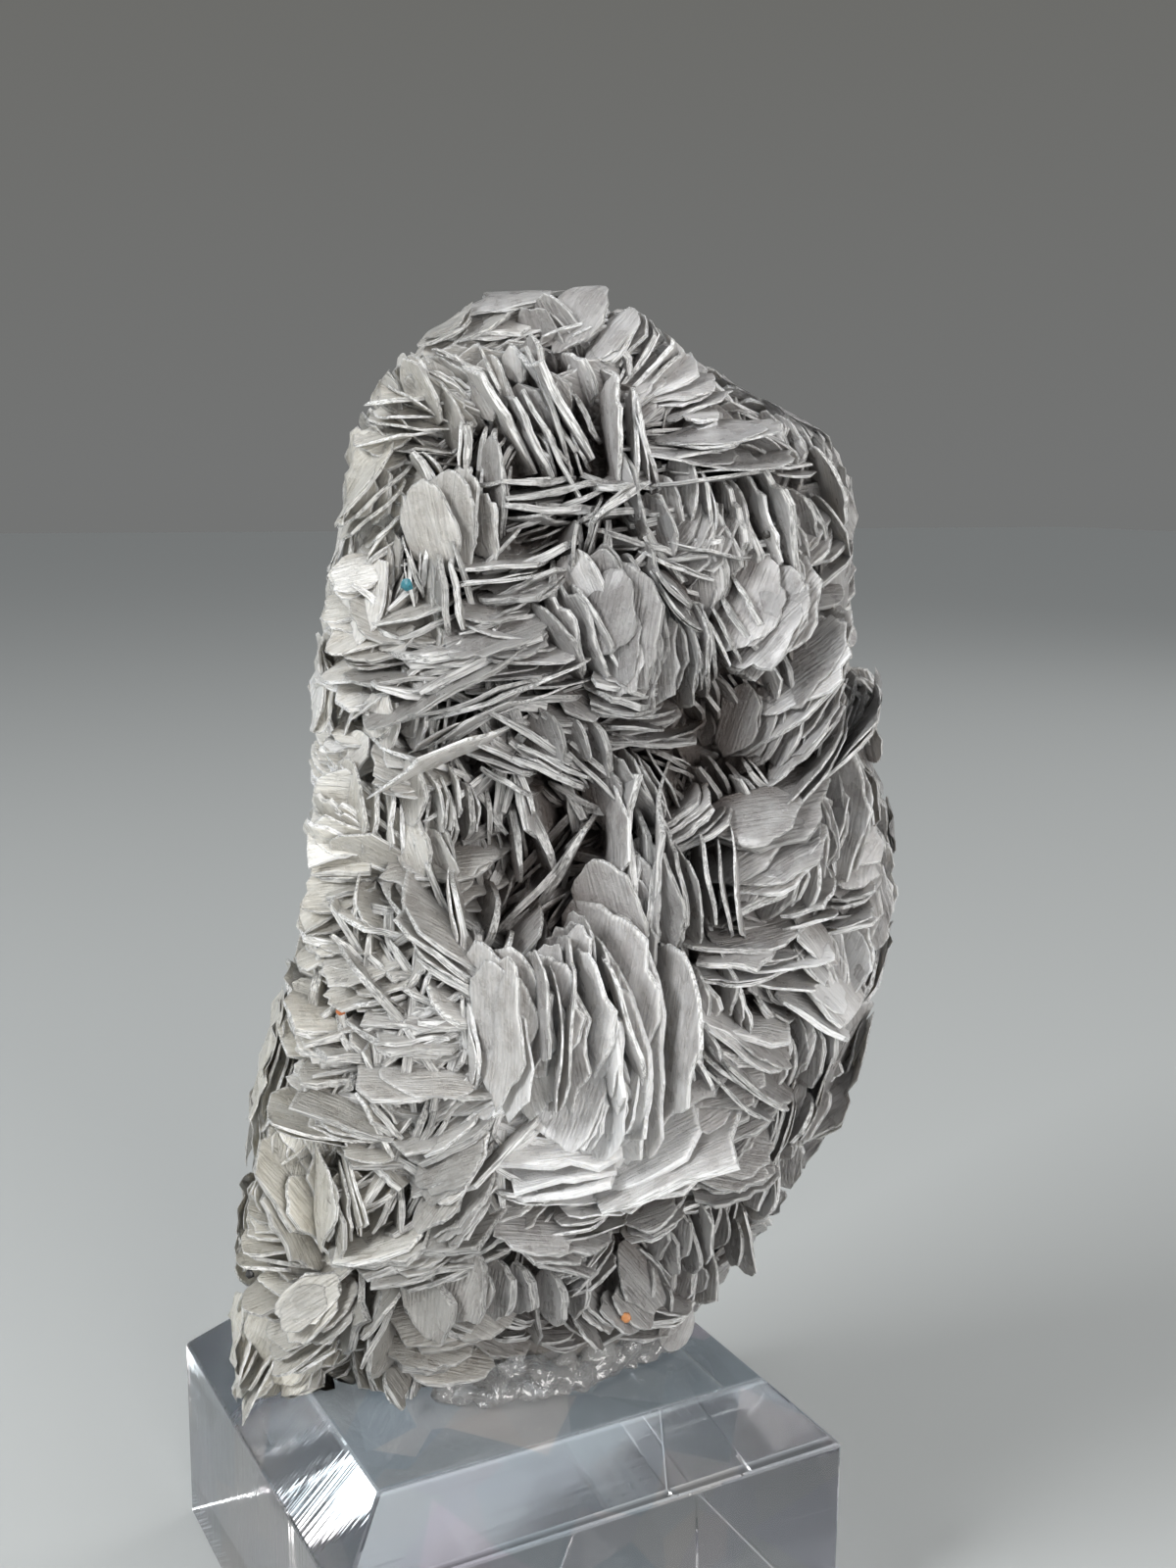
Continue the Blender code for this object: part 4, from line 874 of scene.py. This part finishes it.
# %% Leading books at the sides and back
LEADER_PITCH = 7.0
LOWEST_TIP = 25.5
HIGHEST_TIP = 122.5
FACE_LEFT = math.radians(-158)  # from here to FACE_RIGHT the books are set by hand
FACE_RIGHT = math.radians(-22)
CROWN = 118  # and above this height they go all round
OPEN = 40  # books placed by rule count as this open


def places_on_outline(pitch, chance):
    """Places about a pitch apart all over the outline, as angle and height."""
    height = LOWEST_TIP
    while height < HIGHEST_TIP:
        _, half_width, _, half_depth = section_at(height)
        around = math.pi * (half_width + half_depth)
        count = max(round(around / pitch), 3)
        start = chance.uniform(0, 1)
        for i in range(count):
            angle = -math.pi + 2 * math.pi * (i + start + chance.uniform(-0.3, 0.3)) / count
            yield angle, height + chance.uniform(-0.35, 0.35) * pitch
        _, wider, _, deeper = section_at(height + 1)
        slope = (wider - half_width + deeper - half_depth) / 2
        height += pitch / math.sqrt(1 + slope * slope)


def book_across(outward, chance):
    """Axes of a book that stands on the surface, turned any way and leaning a little."""
    side = outward.orthogonal().normalized()
    twist = Matrix.Rotation(chance.uniform(0, 2 * math.pi), 3, outward)
    along = (twist @ side).normalized()
    flat = along.cross(outward).normalized()
    normal = (swayed(24, along, chance) @ flat).normalized()
    if along.cross(normal).dot(outward) < 0:
        along = -along
    return along, normal


for angle, height in places_on_outline(LEADER_PITCH, chance):
    wrapped = math.atan2(math.sin(angle), math.cos(angle))
    if FACE_LEFT < wrapped < FACE_RIGHT and height < CROWN:
        continue
    outward = outward_at(angle, height)
    along, normal = book_across(outward, chance)
    tip = place_on_side(angle, height, chance.uniform(-0.5, 1.5))
    half_length = chance.uniform(3.6, 6.8)
    leaders.append((tip, along, normal))
    add_book(
        MIDDLE_FORMS, tip, along, normal, half_length, half_length * chance.uniform(0.7, 0.9),
        chance.randint(3, 5), chance.uniform(0.8, 1.3), chance.uniform(3, 9), OPEN, chance,
    )
print("leading books in all:", len(leaders))

# %% [markdown]
# ## Crossing blades
# At the lower left of the face, and across the hollow, thin straight blades cross at all angles
# like spilled straws. They are set by chance within an oval, each edge-on and a little proud.

# %% Crossing blades
TANGLES = (  # middle x and height, half width and height, blades, forward
    (-8.0, 57.0, 11.0, 13.0, 90, 1.2),
    (-3.0, 45.0, 9.0, 7.0, 30, 0.8),
    (3.5, 78.0, 6.0, 7.0, 26, 0.5),
    (-4.0, 92.0, 9.0, 10.0, 24, 0.8),
    (9.0, 103.0, 8.0, 7.0, 12, 0.5),
)
made = 0
for middle, height, wide, high, blades, forward in TANGLES:
    for _ in range(blades):
        around, away = chance.uniform(0, 2 * math.pi), math.sqrt(chance.random())
        x = middle + wide * away * math.cos(around)
        tip = place_on_face(x, height + high * away * math.sin(around), forward - 1.5 * away)
        along, normal = book_axes(chance.uniform(-80, 100), chance.gauss(0, 13))
        sizes = (chance.uniform(2.4, 6.2), chance.uniform(2.6, 4.4), chance.uniform(0.45, 0.95))
        run = swayed(16, normal, chance) @ along
        bend = (chance.gauss(0, 0.03), chance.gauss(0, 0.05), 0)
        form = chance.choice(BLADE_FORMS)
        add_plate(form, tip, run, run.cross(normal), normal, sizes, bend, chance, 0)
        made += 1
print("crossing blades:", made)

# %% Smaller books between them
tree = KDTree(len(leaders))
for i, leader in enumerate(leaders):
    tree.insert(leader[0], i)
tree.balance()


def fill(pitch, inward, sizes, plates, chance):
    """Smaller books all over the outline, sunk in between the leaders."""
    made = 0
    for angle, height in places_on_outline(pitch, chance):
        tip = place_on_side(angle, height, inward + chance.uniform(-0.8, 0.8))
        _, i, _ = tree.find(tip)
        _, along, normal = leaders[i]
        outward = outward_at(angle, height)
        turn = swayed(26, outward, chance)
        lean = swayed(14, along, chance)
        near_along = (turn @ along).normalized()
        near_normal = (turn @ lean @ normal).normalized()
        near_normal = (near_normal - near_along * near_normal.dot(near_along)).normalized()
        if near_along.cross(near_normal).dot(outward) < 0:
            near_along = -near_along
        half_length = chance.uniform(*sizes)
        add_book(
            SMALL_FORMS, tip, near_along, near_normal, half_length,
            half_length * chance.uniform(0.75, 0.95), chance.randint(*plates),
            chance.uniform(0.75, 1.15), chance.uniform(2, 8), OPEN, chance,
        )
        made += 1
    return made


print("outer fill:", fill(4.6, 2.3, (2.0, 4.2), (2, 4), chance))
print("deeper fill:", fill(5.0, 4.2, (2.4, 4.4), (2, 3), chance))

# %% [markdown]
# ## The grown-together middle
# Behind the plates the mica is solid. A lofted form a few millimetres inside the tips closes the
# gaps, so that no light comes through the cluster, and everything that stands on it is carried.
# It is painted dark as painted shade, like the deepest roots of the plates.

# %% The middle, gathered with the plates at the back
CORE_INSET = 6.0
CORE_HEIGHTS = (25.6, 34, 44, 54, 64, 74, 84, 94, 103, 110, 115, 119)
CORE_SIDES = 28


def core_form():
    bm = bmesh.new()
    rings = []
    for height in CORE_HEIGHTS:
        ring = bmesh.ops.create_circle(bm, segments=CORE_SIDES, radius=1.0)["verts"]
        for vert in ring:
            angle = math.atan2(vert.co.y, vert.co.x)
            vert.co = place_on_side(angle, height, CORE_INSET)
        rings.append(ring)
    for lower, upper in zip(rings, rings[1:]):
        loops = [edge for edge in bm.edges if all(v in lower for v in edge.verts)]
        loops += [edge for edge in bm.edges if all(v in upper for v in edge.verts)]
        bmesh.ops.bridge_loops(bm, edges=loops)
    bmesh.ops.holes_fill(bm, edges=[edge for edge in bm.edges if edge.is_boundary])
    bmesh.ops.recalc_face_normals(bm, faces=bm.faces)
    sides = [e for e in bm.edges if len(e.link_faces) == 2]
    bmesh.ops.subdivide_edges(bm, edges=sides, cuts=1, use_grid_fill=True)
    for vert in bm.verts:
        vert.co += 0.9 * noise.noise_vector(vert.co * 0.22)
    return bm


points, corners, counts, flat, rim = form_arrays(core_form())
core = (points * 0 - 1, corners, counts, np.ones_like(flat), np.zeros_like(rim))
# Painted shade: the core counts as all root and has a low shade, so it is painted dark.
gathered["mica_back_low"].add(points, core, points.copy(), 0.1, 0.5)

# %% [markdown]
# ## The finish of mica
# Mica is pearly: a soft silvery sheen over a pale grey-beige, whiter along the split rims, with
# fine streaks along the rim where the sheets part and a faint mottle on the faces. All of it is
# read from the place within each plate, so the streaks follow every plate however it is turned.
# Light and shade are painted into the colour as well: patches of painted light and shade by
# place, a painted paleness on the creamy left, and painted shade that darkens the plates deep in
# the cluster and towards their roots.

# %% Helpers for materials
MIX_FLOATS, MIX_COLOURS = (2, 3, 0), (6, 7, 2)  # the two inputs and the output of a Mix node


class Finish:
    """A material, with shorthands for its nodes. Each gives the new node's output."""

    def __init__(self, name):
        self.material = bpy.data.materials.new(name)
        self.material.use_nodes = True
        self.tree = self.material.node_tree
        self.shader = self.tree.nodes["Principled BSDF"]

    def feed(self, inputs, node=None):
        """Values set on inputs and outputs linked to them, on the shader if no node is named."""
        for key, value in inputs.items():
            socket = (node or self.shader).inputs[key]
            if isinstance(value, bpy.types.NodeSocket):
                self.tree.links.new(value, socket)
            else:
                socket.default_value = value

    def node(self, kind, output, inputs=(), **settings):
        node = self.tree.nodes.new(f"ShaderNode{kind}")
        for key, value in settings.items():
            setattr(node, key, value)
        self.feed(dict(inputs), node)
        return node.outputs[output]

    def attribute(self, name, output="Fac"):
        return self.node("Attribute", output, attribute_name=name)

    def stretched(self, place, scale):
        return self.node("Mapping", 0, {"Vector": place, "Scale": scale})

    def axis(self, place, letter):
        return self.node("SeparateXYZ", letter, {"Vector": place})

    def noise(self, place, scale, detail, **more):
        inputs = {"Vector": place, "Scale": scale, "Detail": detail, **more}
        return self.node("TexNoise", "Fac", inputs)

    def ranged(self, value, low, high, to_low, to_high):
        """The run from low to high spread over another."""
        inputs = {"From Min": low, "From Max": high, "To Min": to_low, "To Max": to_high}
        return self.node("MapRange", "Result", {"Value": value, **inputs})

    def blend(self, share, below, above, **settings):
        """One colour passing into another."""
        first, second, output = MIX_COLOURS
        inputs = {"Factor": share, first: below, second: above}
        return self.node("Mix", output, inputs, data_type="RGBA", **settings)

    def times(self, colour, factor, **settings):
        return self.blend(1.0, colour, factor, blend_type="MULTIPLY", **settings)

    def ramp(self, value, stops):
        """Colours by value, with a position and a colour for each stop."""
        output = self.node("ValToRGB", "Color", {"Fac": value})
        elements = output.node.color_ramp.elements
        while len(elements) < len(stops):
            elements.new(0.5)
        for element, (position, colour) in zip(elements, stops):
            element.position = position
            element.color = (*colour, 1)
        return output

    def bump(self, height, strength, distance, **more):
        inputs = {"Height": height, "Strength": strength, "Distance": distance, **more}
        return self.node("Bump", "Normal", inputs)


# %% Mica
RIM_COLOUR = (0.90, 0.90, 0.885, 1)
# The white that the palest plates pass towards, partly their own tone, partly painted light.
PALEST_COLOUR = (0.93, 0.93, 0.925, 1)
# The colour of the painted shade deep in the cluster and at the plates' roots.
PAINTED_SHADE_COLOUR = (0.085, 0.068, 0.06, 1)

pearl = Finish("pearly_mica")
place = pearl.attribute("plate_place", "Vector")
rim = pearl.attribute("rim")
shade = pearl.attribute("shade")
warmth = pearl.attribute("warmth")
depth = pearl.attribute("depth")

along_rim = pearl.stretched(place, (0.24, 4.0, 7.0))
streaks = pearl.noise(along_rim, 1.0, 3.0, Roughness=0.6, Distortion=0.3)
mottle = pearl.noise(place, 0.45, 2.5, Roughness=0.55)
grain = pearl.noise(place, 3.0, 5.0, Roughness=0.7)

silver = pearl.ramp(mottle, ((0.28, (0.39, 0.368, 0.36)), (0.68, (0.65, 0.64, 0.634))))
# The cream is paler than the silver: partly the mica's own cream tone, partly painted light on the
# left side.
cream = pearl.ramp(mottle, ((0.28, (0.73, 0.69, 0.59)), (0.68, (0.94, 0.91, 0.815))))
body = pearl.blend(warmth, silver, cream)
# The plate's shade carries its own tone and the painted light and shade of the patches.
tone_and_painted_light = pearl.ranged(shade, 0.0, 1.0, 0.50, 1.12)
edge = pearl.ranged(rim, 0.8, 1.0, 0.24, 1.0)
streak_tone = pearl.ranged(streaks, 0.40, 0.58, 0.50, 1.25)
first, second, output = MIX_FLOATS
streak_tone = pearl.node("Mix", output, {"Factor": edge, first: 1.0, second: streak_tone})
rim_share = pearl.node("Math", 0, {0: rim, 1: 6.0}, operation="POWER")
rim_share = pearl.node("Math", 0, {0: rim_share, 1: 0.72}, operation="MULTIPLY")
rimmed = pearl.blend(rim_share, body, RIM_COLOUR)
streaked = pearl.times(rimmed, streak_tone)
shaded = pearl.times(streaked, tone_and_painted_light, clamp_result=True)
# Pale plates pass towards white: the painted-lit stack most of all, a few others by their own paler
# tone.
white_share_from_tone_and_light = pearl.ranged(shade, 0.8, PALEST, 0.0, 0.75)
whitened_by_tone_and_light = pearl.blend(white_share_from_tone_and_light, shaded, PALEST_COLOUR)
# Painted shade: deeper in the cluster and towards their roots the plates are painted dark brown.
painted_shade = pearl.ranged(depth, 0.7, 5.6, 0.0, 0.94)
colour = pearl.blend(painted_shade, whitened_by_tone_and_light, PAINTED_SHADE_COLOUR)
rough = pearl.ranged(mottle, 0.0, 1.0, 0.16, 0.42)
relief = pearl.bump(grain, 0.8, 0.00025, Normal=pearl.bump(streaks, 0.9, 0.0004))
pearl.feed({
    "Base Color": colour, "Roughness": rough, "Normal": relief,
    "Specular IOR Level": 0.7, "IOR": 1.58, "Coat Weight": 0.35, "Coat Roughness": 0.14,
    "Subsurface Weight": 0.25, "Subsurface Radius": (1.0, 0.92, 0.78), "Subsurface Scale": 0.0007,
})
print("nodes of the mica:", len(pearl.tree.nodes))

# %% The pieces of mica
for name in gathered:
    piece = gathered[name].finish(pearl.material)
    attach(piece, "root")
    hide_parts("mica_cluster")

# %% [markdown]
# ## The clear block
# The block is cast acrylic, sawn and polished, with a bevelled rim. Polished plastic always has a
# small break along its edges, which catches the light as a thin bright line, so the block is made
# again with its edges rounded by a few tenths of a millimetre. It is see-through by transmission,
# and its colour carries soft patches of painted reflections of the room.

# %% Block
EDGE_BREAK = 0.25
BEVELS = {"offset_type": "OFFSET", "profile": 0.5, "affect": "EDGES", "material": -1}


def box_mesh(low, high):
    """A cube from one corner to the other."""
    bm = bmesh.new()
    bmesh.ops.create_cube(bm, size=1.0)
    low, high = Vector(low), Vector(high)
    size = Matrix.Diagonal((*(high - low), 1.0))
    bm.transform(Matrix.Translation((low + high) / 2) @ size)
    return bm


bm = box_mesh(block_low, block_high)
rim_edges = [e for e in bm.edges if all(v.co.z > block_high[2] - MM for v in e.verts)]
bmesh.ops.bevel(bm, geom=rim_edges, offset=BLOCK_BEVEL * MM, segments=1, **BEVELS)
bmesh.ops.bevel(bm, geom=bm.edges[:], offset=EDGE_BREAK * MM, segments=2, **BEVELS)
bmesh.ops.recalc_face_normals(bm, faces=bm.faces)
block = placed("polished_block", bm)
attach(block, "root")
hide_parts("acrylic_block")

# %% Finish of the block
# Painted reflections: colours of the room given to the clear plastic as soft patches.
PAINTED_ROOM_REFLECTIONS = (  # what the clear plastic picks up from the room, in soft patches
    (0.05, (0.62, 0.69, 0.74)), (0.30, (0.82, 0.92, 1.0)), (0.50, (0.98, 0.98, 0.98)),
    (0.72, (1.0, 0.955, 0.92)), (0.95, (0.86, 0.82, 0.96)),
)
DUSTY = block_high[2] - 0.3 * MM  # from here up the block has a haze of dust and wear
SAWN = block_low[0] + BLOCK_BEVEL * MM  # the bevel up to here shows fine saw lines

plastic = Finish("clear_acrylic")
coords = plastic.node("TexCoord", "Object")
# Painted reflections of the room, as soft patches of tint in the plastic's colour.
reflection_patches = plastic.node("TexVoronoi", "Color", {"Vector": coords, "Scale": 90.0})
tint = plastic.ramp(plastic.axis(reflection_patches, "X"), PAINTED_ROOM_REFLECTIONS)
height = plastic.axis(coords, "Z")
clearness = plastic.ranged(height, DUSTY - 0.2 * MM, DUSTY, 1.0, 0.80)
scratches = plastic.noise(plastic.stretched(coords, (40, 40, 900)), 1.0, 2.0)
rough = plastic.ranged(scratches, 0.5, 0.8, 0.01, 0.16)
saw_lines = plastic.noise(plastic.stretched(coords, (60, 2200, 60)), 1.0, 1.0)
sawn = plastic.ranged(plastic.axis(coords, "X"), SAWN, SAWN + MM, 0.10, 0.0)
plastic.feed({
    "Base Color": tint, "Transmission Weight": clearness, "Roughness": rough, "IOR": 1.49,
    "Normal": plastic.bump(saw_lines, sawn, 0.0002),
})
block.data.materials.append(plastic.material)
print("block faces:", len(block.data.polygons))

# %% [markdown]
# ## The clear adhesive
# A clear setting gel was pressed under the cluster and squeezed out in front of it, where it set as
# a heap of small glassy beads and folds. Many balls of all sizes, heaped along the cluster's foot,
# are melted into one skin by a remesh, and the pad below the cluster is part of it.

# %% Beads of adhesive
BEAD_RUN = ((-5.0, -12.4), (1.5, -12.6), (8.0, -10.0), (12.5, -6.5), (17.5, -2.2))  # x and y
BEADS = 280
PAD_HALF = (17.5, 11.5)
PAD_MIDDLE = (-1.5, 1.5)
PAD_THICKNESS = 1.6
SKIN_MM = 0.24
block_top = block_high[2] / MM

bm = bmesh.new()
run = np.array(BEAD_RUN)
for _ in range(BEADS):
    along = chance.uniform(0, len(run) - 1)
    x, y = (float(np.interp(along, range(len(run)), run[:, i])) for i in (0, 1))
    behind = abs(chance.gauss(0, 1.8))
    radius = chance.uniform(0.3, 1.15) * (1.0 if behind > 0.8 else 0.8)
    high = chance.uniform(0, 1.6 + 1.1 * behind)
    ball = bmesh.ops.create_icosphere(bm, subdivisions=2, radius=radius)["verts"]
    bmesh.ops.scale(bm, vec=(1.15, 1.0, chance.uniform(0.6, 1.1)), verts=ball)
    bmesh.ops.translate(bm, vec=(x, y + behind, block_top + LIFT + high), verts=ball)
pad = bmesh.ops.create_cone(
    bm, cap_ends=True, segments=40, radius1=1.0, radius2=0.97, depth=PAD_THICKNESS
)["verts"]
bmesh.ops.scale(bm, vec=(*PAD_HALF, 1), verts=pad)
bmesh.ops.translate(bm, vec=(*PAD_MIDDLE, block_top + LIFT + PAD_THICKNESS / 2), verts=pad)
for vert in bm.verts:
    vert.co += 0.35 * noise.noise_vector(vert.co * 0.9)
    vert.co.z = max(vert.co.z, block_top + LIFT)
bm.transform(turned @ Matrix.Scale(MM, 4))
adhesive = placed("adhesive_beads", bm)
skin = adhesive.modifiers.new("melted", "REMESH")
skin.mode = "VOXEL"
skin.voxel_size = SKIN_MM * MM
skin.use_smooth_shade = True
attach(adhesive, "root")
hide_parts("clear_adhesive")

# %% Finish of the adhesive
gel = Finish("clear_adhesive")
folds = gel.noise(gel.node("TexCoord", "Object"), 1100.0, 3.0)
gel.feed({
    "Base Color": (0.985, 0.99, 0.99, 1), "Transmission Weight": 0.84, "Coat Weight": 1.0,
    "IOR": 1.47, "Roughness": 0.02, "Normal": gel.bump(folds, 1.0, 0.0005),
})
adhesive.data.materials.append(gel.material)
print("balls of adhesive:", BEADS)

# %% [markdown]
# ## Grains caught in the cluster
# A few grains of other minerals and dirt sit between the plates and in the adhesive: two of rusty
# orange, one blue-green, and some nearly black. They are crushed balls in one mesh, and each
# carries its own colour.

# %% Grains
GRAINS = (  # x, height, forward, radius and colour
    (-15.0, 59.0, 1.0, 0.40, (0.42, 0.13, 0.04)),
    (12.8, 27.6, 3.0, 0.45, (0.40, 0.17, 0.06)),
    (-8.3, 99.6, 1.0, 0.50, (0.03, 0.16, 0.20)),
    (-24.4, 31.8, 0.2, 0.40, (0.02, 0.02, 0.02)),
    (24.4, 104.5, 0.6, 0.34, (0.03, 0.028, 0.025)),
    (14.5, 110.6, 0.6, 0.30, (0.03, 0.028, 0.025)),
    (13.7, 72.0, 0.6, 0.30, (0.20, 0.10, 0.05)),
)
bm = bmesh.new()
tint = bm.verts.layers.float_color.new("grain_colour")
for x, height, forward, radius, colour in GRAINS:
    middle = place_on_face(x, height, forward)
    grain_verts = bmesh.ops.create_icosphere(bm, subdivisions=2, radius=radius)["verts"]
    for vert in grain_verts:
        vert.co = vert.co * (1 + 0.5 * noise.noise(vert.co * 3.1 / radius)) + middle
        vert[tint] = (*colour, 1)
bm.transform(turned @ Matrix.Scale(MM, 4))
grains = placed("mineral_grains", bm)
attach(grains, "root")
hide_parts("mica_cluster")

crumb = Finish("grain")
tint = crumb.attribute("grain_colour", "Color")
spots = crumb.noise(crumb.node("TexCoord", "Object"), 4000.0, 3.0)
tone = crumb.ranged(spots, 0.0, 1.0, 0.5, 1.5)
crumb.feed({"Base Color": crumb.times(tint, tone), "Roughness": 0.45})
grains.data.materials.append(crumb.material)
print("grains:", len(GRAINS))
